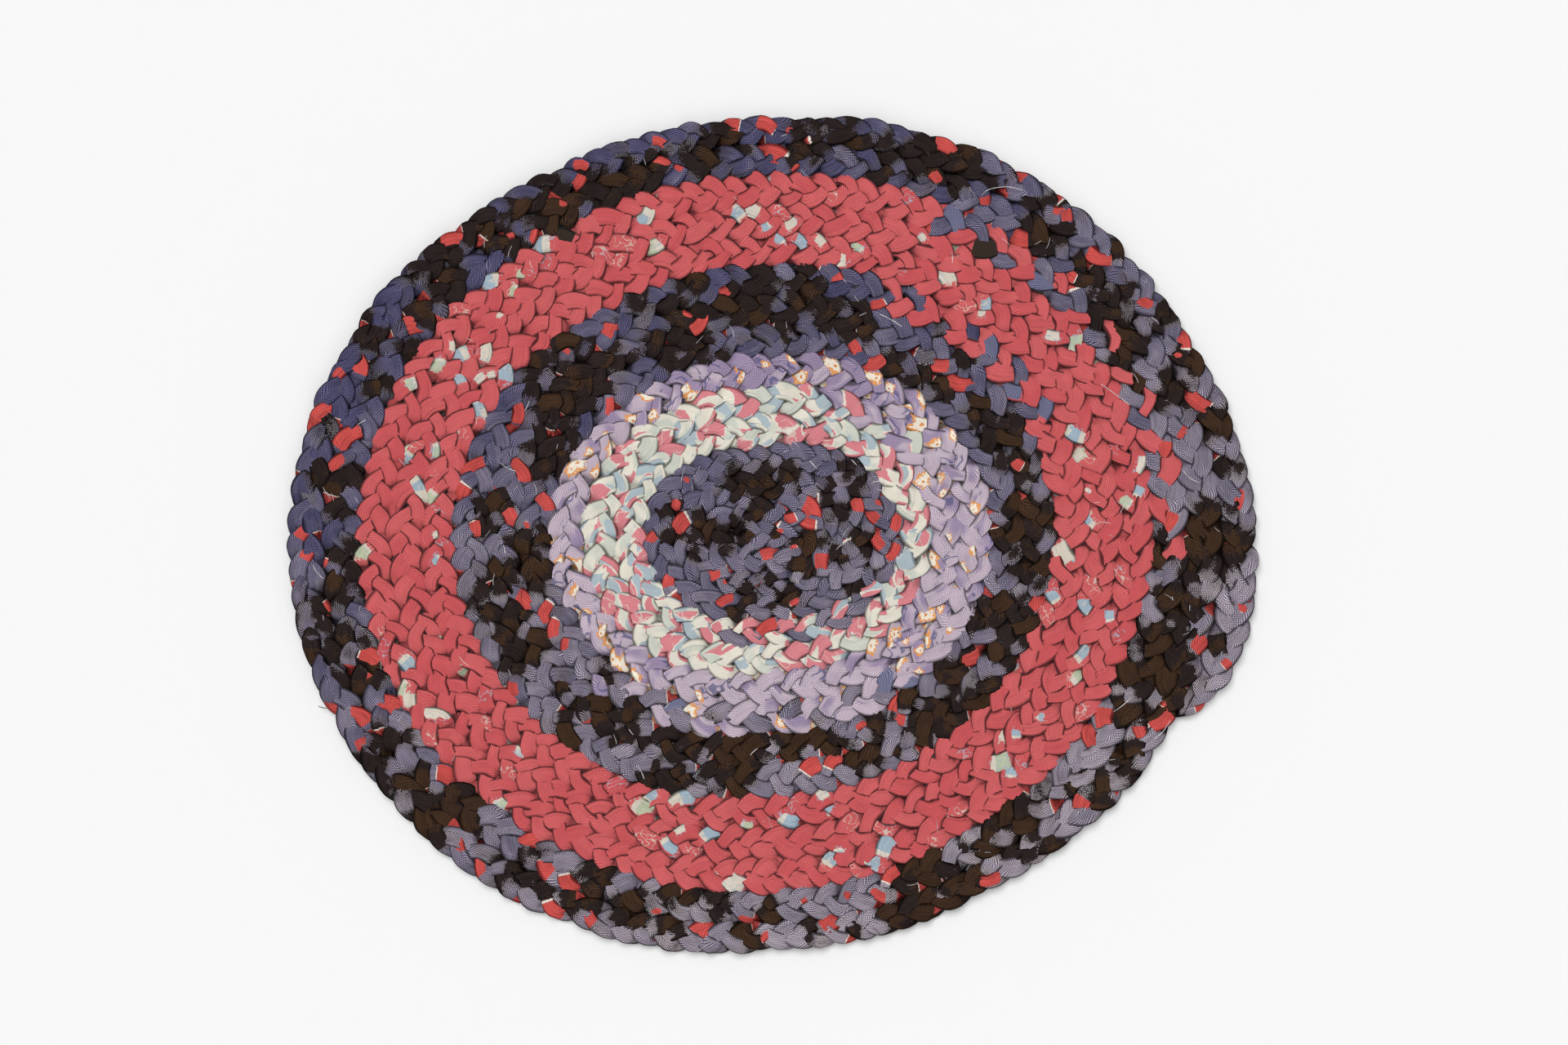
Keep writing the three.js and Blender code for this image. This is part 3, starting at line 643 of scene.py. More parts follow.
# shade at the points of a strand's section, which is full at its two long edges
creaseAcross = np.array([1, 1, 0.72, 0, 0, 0, 0, 0, 0, 0, 0.72, 1, 1, 1, 0, 0, 1])


def openRim(surfaces):
    # 1 on the outward side of the last row, where nothing lies beside the cloth, and 0 elsewhere:
    # (distance across from the braid's middle / half width - from) / from, cut to 0 and 1
    last = np.clip(braid["place"] - (coil["endPlace"] - raysPerTurn), 0, 1)[:, None]
    start = crease["rimFrom"]
    sides = []
    for points, lateral in surfaces:
        across = ((points[..., :2] - braid["middle"][:, None]) * braid["across"][:, None]).sum(-1)
        sides.append(last * np.clip((across / braid["halfWidth"][:, None] - start) / start, 0, 1))
    return sides


def mapTops(surfaces):
    # a grid over the rug with the highest point of each cell and its neighbours, and its corner
    cell = crease["cell"]
    flat = np.concatenate([points.reshape(-1, 3) for points, lateral in surfaces])
    corner = flat[:, :2].min(0) - crease["margin"]
    size = np.ceil((flat[:, :2].max(0) + crease["margin"] - corner) / cell).astype(int)
    where = np.floor((flat[:, :2] - corner) / cell).astype(int)
    highest = np.zeros(size)
    np.maximum.at(highest, (where[:, 0], where[:, 1]), flat[:, 2])
    around = highest.copy()
    for x in (-1, 0, 1):
        for y in (-1, 0, 1):
            around = np.maximum(around, np.roll(highest, (x, y), (0, 1)))
    return around, corner


def topAt(flat):
    # height of the cloth at points in the plane
    at = np.floor((flat - mapCorner) / crease["cell"]).astype(int)
    at = np.clip(at, 0, np.array(topMap.shape) - 1)
    return topMap[at[..., 0], at[..., 1]]


def shadeCreases(surfaces):
    # how far each point lies below the cloth around it:  shade = (top - z - slack) / depth  cut to
    # 0 and 1, and full at the long edges of each strand
    shades = []
    for points, lateral in surfaces:
        below = topAt(points[..., :2]) - points[..., 2]
        deep = crease["share"] * np.clip((below - crease["slack"]) / crease["depth"], 0, 1)
        shades.append(np.maximum(deep, np.broadcast_to(creaseAcross, lateral.shape)))
    return shades


printed = {
    "upperPoints": 13,         # of a strand's section, which prints can lie on
    "aimHeight": 6.5,
    "flowerScale": 1.25,       # size of the flowers and patches against the lists above
    "patchScale": 1.12,
    "reach": 14,               # samples either way that a print may cover
    "petals": 5,
    "petalDepth": 0.2,
    "petalTurn": 9,            # turns each flower by its size
    "patchSquash": 0.8,
    "search": 9,               # samples either way, for the lowest cloth near a place
    "lowAcross": 2.0,
    "kinds": 4,
}
# prints scattered over the underside, where a strand lies lowest: mm of strand for each, and size
scattered = {
    "lavender_print": {"spacing": 30, "size": (2.5, 4.5)},
    "red": {"spacing": 240, "size": (2.5, 3.5)},
    "plaid": {"spacing": 70, "size": (3, 7)},
}


def placeOnTop(spots, surfaces):
    # for each spot, the strand, sample and distance across of the highest cloth nearest to it:
    # the smallest  d^2 + (aim height - z)^2  over the points of all strands' upper halves; a fourth
    # number of the spot is its kind
    upper = printed["upperPoints"]
    points = np.concatenate([points[:, :upper].reshape(-1, 3) for points, lateral in surfaces])
    owner = np.repeat(np.arange(3), [len(points) * upper for points, lateral in surfaces])
    number = np.concatenate([np.arange(len(points) * upper) for points, lateral in surfaces])
    height = (printed["aimHeight"] - points[:, 2]) ** 2
    placed = [[], [], []]
    for spot in spots:
        cost = (points[:, 0] - spot[0]) ** 2 + (points[:, 1] - spot[1]) ** 2 + height
        best = int(np.argmin(cost))
        strand, sample = int(owner[best]), int(number[best] // upper)
        across = surfaces[strand][1][sample, number[best] % upper]
        kind = float(spot[3]) if len(spot) > 3 else 0.0
        placed[strand].append((sample, spot[2] * viewFrame["mmPerPixel"], float(across), kind))
    return placed


def scatterBelow(path, first, last, kind, seed):
    # random places along a strand, each moved to the lowest cloth near it
    random = np.random.default_rng(seed)
    length = path["along"][last] - path["along"][first]
    count = max(1, int(length / scattered[kind]["spacing"]))
    reach, most = printed["search"], printed["lowAcross"]
    places = []
    for at in random.uniform(path["along"][first], path["along"][last], count):
        index = int(np.searchsorted(path["along"], at))
        low, high = max(0, index - reach), min(len(path["lift"]), index + reach)
        lowest = low + int(np.argmin(path["lift"][low:high]))
        size = random.uniform(*scattered[kind]["size"])
        across = random.uniform(-most, most)
        places.append((lowest, size, across, int(random.integers(0, printed["kinds"]))))
    return places


def spotFields(path, lateral, places, isRound):
    # field = 1 - distance / half size of the nearest place, where the distance is
    # max(|u|, squash |v|),  or for a flower of angle a
    # root(u^2 + v^2) (1 + depth cos(petals a + turn size));
    # side tells its two ends apart, and kind is its number
    shape = lateral.shape
    field, side, kind = np.full(shape, -1.0), np.zeros(shape), np.zeros(shape)
    for sample, size, across, number in places:
        low, high = max(0, sample - printed["reach"]), min(shape[0], sample + printed["reach"] + 1)
        u = (path["along"][low:high] - path["along"][sample])[:, None]
        v = lateral[low:high] - across
        if isRound:
            petals = np.cos(printed["petals"] * np.arctan2(v, u) + printed["petalTurn"] * size)
            distance = np.hypot(u, v) * (1 + printed["petalDepth"] * petals)
            half = size * printed["flowerScale"] / 2
        else:
            distance = np.maximum(np.abs(u), printed["patchSquash"] * np.abs(v))
            half = size * printed["patchScale"] / 2
        value = 1 - distance / half
        better = value > field[low:high]
        field[low:high] = np.where(better, value, field[low:high])
        side[low:high] = np.where(better, np.broadcast_to(u / half, value.shape), side[low:high])
        kind[low:high] = np.where(better, number, kind[low:high])
    return {"spot": field, "spotSide": side, "spotKind": kind}


def paint(red, green, blue):
    # a colour as it looks in daylight, turned into the linear value that a shader takes
    value = np.array([red, green, blue]) / 255
    linear = np.where(value <= 0.04045, value / 12.92, ((value + 0.055) / 1.055) ** 2.4)
    return (*[float(v) for v in linear], 1.0)


def addNode(tree, kind, inputs=None, **settings):
    node = tree.nodes.new(kind)
    for name, value in settings.items():
        setattr(node, name, value)
    for key, value in (inputs or {}).items():
        if isinstance(value, bpy.types.NodeSocket):
            tree.links.new(value, node.inputs[key])
        else:
            node.inputs[key].default_value = value
    return node


def calc(tree, operation, *values):
    return addNode(tree, "ShaderNodeMath", dict(enumerate(values)), operation=operation).outputs[0]


def blendColour(tree, factor, first, second):
    return addNode(tree, "ShaderNodeMix", {0: factor, 6: first, 7: second}, data_type="RGBA").outputs[2]


def stepMask(tree, value, low, high, least=0.0):
    # a smooth step up to 1 from its least value
    inputs = {0: value, 1: low, 2: high, 3: least, 4: 1.0}
    return addNode(tree, "ShaderNodeMapRange", inputs, interpolation_type="SMOOTHSTEP").outputs[0]


def noiseAt(tree, vector, scale, detail, shift):
    # noise on the strip, its scale counted per metre; each use has its own shift, so no two are alike
    moved = addNode(tree, "ShaderNodeMapping", {"Vector": vector, "Location": (shift, shift * 0.7, 0)})
    settings = {"Vector": moved.outputs[0], "Scale": scale, "Detail": detail}
    return addNode(tree, "ShaderNodeTexNoise", settings, noise_dimensions="2D").outputs[0]


def newGroup(name, inputs, outputs):
    group = bpy.data.node_groups.new(name, "ShaderNodeTree")
    for label, kind, value in inputs:
        socket = group.interface.new_socket(label, in_out="INPUT", socket_type="NodeSocket" + kind)
        if value is not None:
            socket.default_value = value
    for label, kind in outputs:
        group.interface.new_socket(label, in_out="OUTPUT", socket_type="NodeSocket" + kind)
    return group, group.nodes.new("NodeGroupInput").outputs, group.nodes.new("NodeGroupOutput").inputs


def makeWeaveGroup():
    # plain weave: Thread is the product of a sine along and a sine across, Height its size
    group, given, result = newGroup(
        "clothWeave",
        [("Strip", "Vector", None), ("Pitch", "Float", 0.0006)],
        [("Height", "Float"), ("Thread", "Float")],
    )
    wobble = noiseAt(group, given["Strip"], 150, 1, 0.3)
    shift = calc(group, "MULTIPLY", calc(group, "SUBTRACT", wobble, 0.5), 0.0022)
    parts = addNode(group, "ShaderNodeSeparateXYZ", {0: given["Strip"]}).outputs
    turns = []
    for part in (parts[0], parts[1]):
        moved = calc(group, "DIVIDE", calc(group, "ADD", part, shift), given["Pitch"])
        turns.append(calc(group, "SINE", calc(group, "MULTIPLY", moved, 2 * math.pi)))
    product = calc(group, "MULTIPLY", *turns)
    group.links.new(calc(group, "ABSOLUTE", product), result["Height"])
    group.links.new(stepMask(group, product, -0.35, 0.45), result["Thread"])
    return group


def makeRaggedGroup():
    # a field cut at zero with a frayed edge: Mask inside, Rim in a narrow band along the edge
    group, given, result = newGroup(
        "raggedEdge",
        [("Strip", "Vector", None), ("Field", "Float", 0.0), ("Fray", "Float", 0.3),
         ("Shift", "Float", 0.0)],
        [("Mask", "Float"), ("Rim", "Float")],
    )
    inputs = {0: given["Strip"], 1: given["Shift"]}
    strip = addNode(group, "ShaderNodeVectorMath", inputs, operation="ADD").outputs[0]
    coarse = calc(group, "SUBTRACT", noiseAt(group, strip, 420, 2, 1.1), 0.5)
    fine = calc(group, "SUBTRACT", noiseAt(group, strip, 1700, 1, 2.3), 0.5)
    frayed = calc(group, "MULTIPLY", calc(group, "ADD", coarse, fine), given["Fray"])
    cut = calc(group, "ADD", given["Field"], frayed)
    group.links.new(stepMask(group, cut, -0.03, 0.03), result["Mask"])
    near = calc(group, "ABSOLUTE", calc(group, "SUBTRACT", cut, 0.02))
    group.links.new(calc(group, "SUBTRACT", 1.0, stepMask(group, near, 0.06, 0.12)), result["Rim"])
    return group


def makeWearGroup():
    # worn and soiled cloth: slow and quick changes of tone and streaks of single yarns, as a factor
    # about one
    group, given, result = newGroup(
        "clothTone",
        [("Strip", "Vector", None), ("Amount", "Float", 0.3), ("Yarns", "Float", 1.0)],
        [("Tone", "Float"), ("Slow", "Float")],
    )
    slow = noiseAt(group, given["Strip"], 45, 1, 4.7)
    quick = noiseAt(group, given["Strip"], 260, 2, 6.1)
    both = calc(group, "SUBTRACT", calc(group, "ADD", slow, quick), 1.0)
    drawn = addNode(group, "ShaderNodeMapping", {"Vector": given["Strip"], "Scale": (0.12, 1, 1)})
    yarns = calc(group, "SUBTRACT", noiseAt(group, drawn.outputs[0], 1500, 1, 8.8), 0.5)
    both = calc(group, "ADD", both, calc(group, "MULTIPLY", yarns, given["Yarns"]))
    tone = calc(group, "ADD", 1.0, calc(group, "MULTIPLY", both, given["Amount"]))
    group.links.new(tone, result["Tone"])
    group.links.new(slow, result["Slow"])
    return group


weaveGroup = makeWeaveGroup()
raggedGroup = makeRaggedGroup()
wearGroup = makeWearGroup()

# painted shade: how the cloth's colour darkens in the depth of the rug, in mm from the middle of its
# thickness
depthShade = {"middle": 2.9, "darkTo": 0.5, "fullFrom": 2.1, "darkest": 0.18}


class Cloth:
    # one cloth material: its strip coordinates, weave and wear, ready for a pattern on top
    def __init__(self, name, settings):
        self.material = bpy.data.materials.new(name)
        self.material.use_nodes = True
        self.tree = self.material.node_tree
        self.settings = settings
        self.shader = self.tree.nodes["Principled BSDF"]
        self.strip = addNode(self.tree, "ShaderNodeUVMap", uv_map="strip").outputs[0]
        self.place = addNode(self.tree, "ShaderNodeTexCoord").outputs["Object"]
        weave = self.group(weaveGroup, {"Strip": self.strip, "Pitch": settings["pitch"] * mm})
        worn = {"Strip": self.strip, "Amount": settings["wear"], "Yarns": settings["yarns"]}
        wear = self.group(wearGroup, worn)
        self.height, self.thread = weave["Height"], weave["Thread"]
        self.tone, self.slow = wear["Tone"], wear["Slow"]

    def group(self, group, inputs):
        return addNode(self.tree, "ShaderNodeGroup", inputs, node_tree=group).outputs

    def ragged(self, field, fray, shift):
        inputs = {"Strip": self.strip, "Field": field, "Fray": fray, "Shift": shift}
        return self.group(raggedGroup, inputs)

    def attribute(self, name):
        return addNode(self.tree, "ShaderNodeAttribute", attribute_name=name).outputs["Fac"]

    def warpAndWeft(self, name):
        warp, weft = self.settings[name]
        return blendColour(self.tree, self.thread, paint(*warp), paint(*weft))

    def noise(self, scale, detail, shift):
        return noiseAt(self.tree, self.strip, scale, detail, shift)

    def lines(self, scale, shift, low, high):
        # winding lines where a noise crosses its middle
        away = calc(self.tree, "ABSOLUTE", calc(self.tree, "SUBTRACT", self.noise(scale, 1, shift), 0.5))
        return calc(self.tree, "SUBTRACT", 1.0, stepMask(self.tree, away, low, high))

    def finish(self, colour):
        # painted shade: the cloth's colour darkens towards the middle of the rug's thickness, but not on its
        # outer rim, and it darkens along the creases
        tree = self.tree
        full = depthShade["fullFrom"] * mm
        level = addNode(tree, "ShaderNodeSeparateXYZ", {0: self.place}).outputs[2]
        outwards = calc(tree, "ABSOLUTE", calc(tree, "SUBTRACT", level, depthShade["middle"] * mm))
        outwards = calc(tree, "ADD", outwards, calc(tree, "MULTIPLY", self.attribute("open"), full))
        depth = stepMask(tree, outwards, depthShade["darkTo"] * mm, full, depthShade["darkest"])
        # painted shade along the creases between strands, from the crease attribute, as strong as the
        # cloth's crease setting
        shade = stepMask(tree, self.attribute("crease"), 0.05, 0.95)
        shade = calc(tree, "MULTIPLY", shade, self.settings["crease"])
        tone = calc(tree, "MULTIPLY", self.tone, depth)
        tone = calc(tree, "MULTIPLY", tone, calc(tree, "SUBTRACT", 1.0, shade))
        toned = addNode(tree, "ShaderNodeVectorMath", {0: colour, "Scale": tone}, operation="SCALE")
        tree.links.new(toned.outputs[0], self.shader.inputs["Base Color"])
        drawn = addNode(tree, "ShaderNodeMapping", {"Vector": self.strip, "Scale": (0.28, 1, 1)})
        pleats = noiseAt(tree, drawn.outputs[0], 520, 2, 1.9)
        pleats = calc(tree, "MULTIPLY", pleats, self.settings["pleats"] * mm)
        weave = calc(tree, "MULTIPLY", self.height, self.settings["relief"] * mm)
        height = calc(tree, "ADD", weave, pleats)
        bump = addNode(tree, "ShaderNodeBump", {"Strength": 1.0, "Distance": 1.0, "Height": height})
        tree.links.new(bump.outputs[0], self.shader.inputs["Normal"])
        self.shader.inputs["Roughness"].default_value = 0.93
        self.shader.inputs["Specular IOR Level"].default_value = self.settings["gloss"]
        self.shader.inputs["Sheen Weight"].default_value = self.settings["sheen"]
        self.shader.inputs["Sheen Roughness"].default_value = 0.6
        return self.material


# a cloth's colour is a pair, warp and weft, and others are plain; pitch, relief and pleats are in mm; crease
# is the strength of the painted shade along the creases
plaidSettings = {
    "pitch": 0.62, "relief": 0.12, "pleats": 1.1,
    "wear": 0.40, "yarns": 1.6, "crease": 0.8, "gloss": 0.05, "sheen": 0.0,
    "blue": ((19, 26, 66), (111, 105, 135)),
    "grey": ((38, 41, 80), (213, 199, 204)),
    "black": ((25, 18, 18), (57, 47, 45)),
    "brown": ((26, 17, 12), (91, 65, 46)),
    "red": ((180, 50, 52), (212, 102, 94)),
    "speck": (196, 190, 196),
    "white": (224, 216, 206),
    "brownFrom": 0.85,         # how deep in a black area the brown begins, at the front
    "brownFromFar": 1.15,      # and at the back
    "dotted": 0.36,            # how much later the pale weft goes black
    "worn": 0.35,              # most cover of the pale worn patches
    "paleFar": 0.35,           # share of that cover at the back
    "fadedFront": 0.85,        # how the cloth fades towards the front, and over what range in mm
    "fadeRange": (-120, 140),
    "fadeWander": 200,
}
# each ring of plaid fades in its own way: a slope towards the right, and a shift in mm
plaidFading = {
    "plaid_centre": {"fadedRight": 0.3, "faded": -25},
    "plaid_middle": {"fadedRight": 0.05, "faded": -20},
    "plaid_outer": {"fadedRight": 0.45, "faded": -10},
}


def makePlaid(name, settings):
    # blue cloth, navy at the back and faded grey towards the front, with frayed black areas that
    # turn brown inside, and red pieces edged with white
    cloth = Cloth(name, settings)
    tree = cloth.tree
    place = addNode(tree, "ShaderNodeSeparateXYZ", {0: cloth.place}).outputs
    front = calc(tree, "MULTIPLY", place[1], settings["fadedFront"])
    slope = calc(tree, "SUBTRACT", calc(tree, "MULTIPLY", place[0], settings["fadedRight"]), front)
    slope = calc(tree, "ADD", slope, settings["faded"] * mm)
    slow = calc(tree, "SUBTRACT", cloth.slow, 0.5)
    slope = calc(tree, "ADD", slope, calc(tree, "MULTIPLY", slow, settings["fadeWander"] * mm))
    start, end = settings["fadeRange"]
    faded = addNode(tree, "ShaderNodeMapRange", {0: slope, 1: start * mm, 2: end * mm}).outputs[0]
    blue = blendColour(tree, faded, cloth.warpAndWeft("blue"), cloth.warpAndWeft("grey"))
    worn = stepMask(tree, cloth.noise(210, 2, 41.0), 0.56, 0.72)
    # worn patches and fringes are pale on the weft alone, and least at the back
    pale = calc(tree, "ADD", settings["paleFar"], calc(tree, "MULTIPLY", faded, 1 - settings["paleFar"]))
    pale = calc(tree, "MULTIPLY", cloth.thread, pale)
    worn = calc(tree, "MULTIPLY", worn, calc(tree, "MULTIPLY", pale, settings["worn"]))
    blue = blendColour(tree, worn, blue, paint(*settings["speck"]))
    dark = cloth.attribute("dark")
    # the pale weft goes black last, so the edge of a black area is dotted
    late = calc(tree, "MULTIPLY", calc(tree, "SUBTRACT", cloth.thread, 0.45), settings["dotted"])
    black = cloth.ragged(calc(tree, "SUBTRACT", dark, late), 0.34, 0.0)
    # the cores are brown at the front and stay nearly black at the back
    steps = {0: faded, 1: 0.2, 2: 0.6, 3: settings["brownFromFar"], 4: settings["brownFrom"]}
    brownFrom = addNode(tree, "ShaderNodeMapRange", steps).outputs[0]
    core = cloth.ragged(calc(tree, "SUBTRACT", dark, brownFrom), 0.7, 5.0)
    core = calc(tree, "MULTIPLY", core["Mask"], 0.85)
    darkCloth = blendColour(tree, core, cloth.warpAndWeft("black"), cloth.warpAndWeft("brown"))
    colour = blendColour(tree, black["Mask"], blue, darkCloth)
    fringe = calc(tree, "MULTIPLY", black["Rim"], calc(tree, "MULTIPLY", pale, 0.85))
    somewhere = stepMask(tree, cloth.noise(60, 0, 5.3), 0.45, 0.6)
    fringe = calc(tree, "MULTIPLY", fringe, somewhere)
    colour = blendColour(tree, fringe, colour, paint(*settings["speck"]))
    red = cloth.ragged(cloth.attribute("spot"), 0.06, 9.0)
    colour = blendColour(tree, red["Mask"], colour, cloth.warpAndWeft("red"))
    whiteEnd = stepMask(tree, cloth.attribute("spotSide"), 0.83, 0.87)
    hasWhite = stepMask(tree, cloth.attribute("spotKind"), 0.4, 0.6)
    white = calc(tree, "MULTIPLY", calc(tree, "MULTIPLY", red["Mask"], whiteEnd), hasWhite)
    colour = blendColour(tree, white, colour, paint(*settings["white"]))
    return cloth.finish(colour)


redSettings = {
    "pitch": 0.55, "relief": 0.06, "pleats": 0.7,
    "wear": 0.20, "yarns": 0.9, "crease": 0.85, "gloss": 0.15, "sheen": 0.05,
    "rose": ((182, 64, 72), (214, 114, 112)),
    "deep": ((170, 54, 63), (202, 98, 98)),
    "blue": ((40, 42, 76), (138, 138, 166)),
    "black": ((20, 15, 14), (66, 52, 42)),
    "bright": ((190, 44, 42), (220, 92, 80)),
    "paleBlue": (150, 167, 180),
    "cream": (204, 194, 180),
    "paleGreen": (176, 183, 156),
}


def makeRed(name, settings):
    # plain rose red with a few bits of pale print, and thin pale lines around them
    cloth = Cloth(name, settings)
    tree = cloth.tree
    slow = stepMask(tree, cloth.slow, 0.35, 0.68)
    colour = blendColour(tree, slow, cloth.warpAndWeft("rose"), cloth.warpAndWeft("deep"))
    field = cloth.attribute("spot")
    kind = cloth.attribute("spotKind")
    cream, paleBlue, paleGreen = (paint(*settings[key]) for key in ("cream", "paleBlue", "paleGreen"))
    pale = blendColour(tree, stepMask(tree, kind, 0.4, 0.6), paleBlue, cream)
    pale = blendColour(tree, stepMask(tree, kind, 1.4, 1.6), pale, paleGreen)
    creamEnd = stepMask(tree, cloth.attribute("spotSide"), 0.45, 0.5)
    pale = blendColour(tree, creamEnd, pale, cream)
    others = [colour] + [cloth.warpAndWeft(key) for key in ("blue", "black", "bright")]
    for number, other in enumerate(others, 3):
        pale = blendColour(tree, stepMask(tree, kind, number - 0.6, number - 0.4), pale, other)
    bit = cloth.ragged(field, 0.16, 2.0)
    colour = blendColour(tree, bit["Mask"], colour, pale)
    line = cloth.lines(420, 12.4, 0.015, 0.035)
    near = calc(tree, "MULTIPLY", stepMask(tree, field, -0.55, -0.2), 0.75)
    near = calc(tree, "MULTIPLY", near, stepMask(tree, kind, 3.6, 3.4))  # none by whole lobes
    paleLine = blendColour(tree, stepMask(tree, cloth.slow, 0.45, 0.55), cream, paleBlue)
    colour = blendColour(tree, calc(tree, "MULTIPLY", near, line), colour, paleLine)
    return cloth.finish(colour)


creamSettings = {
    "pitch": 0.5, "relief": 0.06, "pleats": 0.7,
    "wear": 0.16, "yarns": 0.8, "crease": 0.75, "gloss": 0.15, "sheen": 0.05,
    "cream": ((209, 203, 187), (226, 221, 208)),
    "greenish": ((184, 187, 176), (206, 208, 196)),
    "lightBlue": ((148, 164, 174), (180, 191, 195)),
    "rose": ((194, 102, 112), (218, 146, 150)),
    "roseFrom": 0.54,          # the lower, the more of the cloth is rose or blue
    "blueFrom": 0.64,
}


def makeCream(name, settings):
    # cream cloth printed with large rose, light blue and pale green shapes
    cloth = Cloth(name, settings)
    tree = cloth.tree
    shade = stepMask(tree, cloth.noise(120, 1, 21.0), 0.45, 0.6)
    colour = blendColour(tree, shade, cloth.warpAndWeft("cream"), cloth.warpAndWeft("greenish"))
    blue = calc(tree, "SUBTRACT", cloth.noise(110, 0, 14.0), settings["blueFrom"])
    blue = cloth.ragged(calc(tree, "MULTIPLY", blue, 8.0), 0.25, 1.0)
    colour = blendColour(tree, blue["Mask"], colour, cloth.warpAndWeft("lightBlue"))
    rose = calc(tree, "SUBTRACT", cloth.noise(85, 0, 17.0), settings["roseFrom"])
    rose = cloth.ragged(calc(tree, "MULTIPLY", rose, 8.0), 0.3, 4.0)
    creamWarp, creamWeft = (paint(*tone) for tone in settings["cream"])
    some = stepMask(tree, cloth.noise(90, 0, 23.0), 0.5, 0.6)
    figure = calc(tree, "MULTIPLY", cloth.lines(240, 19.0, 0.015, 0.035), some)
    figure = calc(tree, "MULTIPLY", figure, 0.6)
    roseCloth = blendColour(tree, figure, cloth.warpAndWeft("rose"), creamWarp)
    colour = blendColour(tree, rose["Mask"], colour, roseCloth)
    colour = blendColour(tree, calc(tree, "MULTIPLY", rose["Rim"], 0.7), colour, creamWeft)
    return cloth.finish(colour)


lavenderSettings = {
    "pitch": 0.58, "relief": 0.07, "pleats": 0.7,
    "wear": 0.22, "yarns": 0.9, "crease": 0.75, "gloss": 0.15, "sheen": 0.05,
    "lavender": ((139, 120, 146), (222, 206, 212)),
    "deep": ((108, 92, 130), (182, 163, 186)),
    "orange": ((207, 132, 70), (230, 166, 102)),
    "petal": ((222, 210, 192), (238, 230, 216)),
    "blue": ((66, 68, 100), (144, 144, 170)),
    "navy": (80, 82, 122),
    "farRange": (25, 50),      # mm behind the middle, over which it grows deeper
    "farDeeper": 0.22,         # and gets more strokes
    "farStrokes": 0.14,
}


def makeLavender(name, settings):
    # lavender cloth with cream flowers outlined in orange, and a few navy strokes
    cloth = Cloth(name, settings)
    tree = cloth.tree
    start, end = settings["farRange"]
    far = addNode(tree, "ShaderNodeSeparateXYZ", {0: cloth.place}).outputs[1]
    far = stepMask(tree, far, start * mm, end * mm)
    wash = calc(tree, "MULTIPLY", far, settings["farDeeper"])
    wash = stepMask(tree, calc(tree, "ADD", cloth.noise(110, 1, 31.0), wash), 0.5, 0.7)
    colour = blendColour(tree, wash, cloth.warpAndWeft("lavender"), cloth.warpAndWeft("deep"))
    some = calc(tree, "MULTIPLY", far, settings["farStrokes"])
    some = stepMask(tree, calc(tree, "ADD", cloth.noise(75, 0, 35.0), some), 0.6, 0.66)
    stroke = calc(tree, "MULTIPLY", cloth.lines(170, 33.0, 0.02, 0.04), some)
    stroke = calc(tree, "MULTIPLY", stroke, 0.75)
    colour = blendColour(tree, stroke, colour, paint(*settings["navy"]))
    field = cloth.attribute("spot")
    # a place of kind 1 is a whole lobe of grey-blue, and the others are flowers
    outline = cloth.ragged(field, 0.7, 3.0)
    petals = cloth.ragged(calc(tree, "SUBTRACT", field, 0.3), 0.7, 6.0)
    heart = cloth.ragged(calc(tree, "SUBTRACT", field, 0.82), 0.3, 8.0)
    colour = blendColour(tree, outline["Mask"], colour, cloth.warpAndWeft("orange"))
    colour = blendColour(tree, petals["Mask"], colour, cloth.warpAndWeft("petal"))
    colour = blendColour(tree, heart["Mask"], colour, paint(*settings["orange"][0]))
    lobe = calc(tree, "MULTIPLY", outline["Mask"], stepMask(tree, cloth.attribute("spotKind"), 0.4, 0.6))
    colour = blendColour(tree, lobe, colour, cloth.warpAndWeft("blue"))
    return cloth.finish(colour)


printCloths = {
    "cream_print": (makeCream, creamSettings),
    "lavender_print": (makeLavender, lavenderSettings),
    "red": (makeRed, redSettings),
}


def makeCloths():
    # one material for each stretch of the braid
    cloths = {}
    for stretch in stretches:
        name = stretch["name"]
        if name in plaidFading:
            cloths[name] = makePlaid(name, {**plaidSettings, **plaidFading[name]})
        else:
            make, settings = printCloths[name]
            cloths[name] = make(name, settings)
    return cloths


materials = makeCloths()
print("cloths", ", ".join(materials))

surfaces = [strandSurface(braid, path) for path in paths]
topMap, mapCorner = mapTops(surfaces)
creases = shadeCreases(surfaces)
rims = openRim(surfaces)
foldJump = plait["foldedIn"] * np.array([0] * 5 + [1] * 12)
redPlaces = placeOnTop(redPieces, surfaces)
palePlaces = placeOnTop(paleBits, surfaces)
flowerPlaces = placeOnTop(flowers, surfaces)
bluePlaces = placeOnTop(blueLobes, surfaces)
darkness = [darkField(path, surfaces[k][1], k) for k, path in enumerate(paths)]
print("prints placed")


def clothPlaces(name, strand, first, last, seed):
    # the places of a stretch's print on one strand, and whether they are round
    kind = name if name in scattered else "plaid"
    below = scatterBelow(paths[strand], first, last, kind, seed)
    if kind == "lavender_print":
        return flowerPlaces[strand] + bluePlaces[strand] + [(*place[:3], 0) for place in below], True
    above = palePlaces if kind == "red" else redPlaces
    return above[strand] + below, False


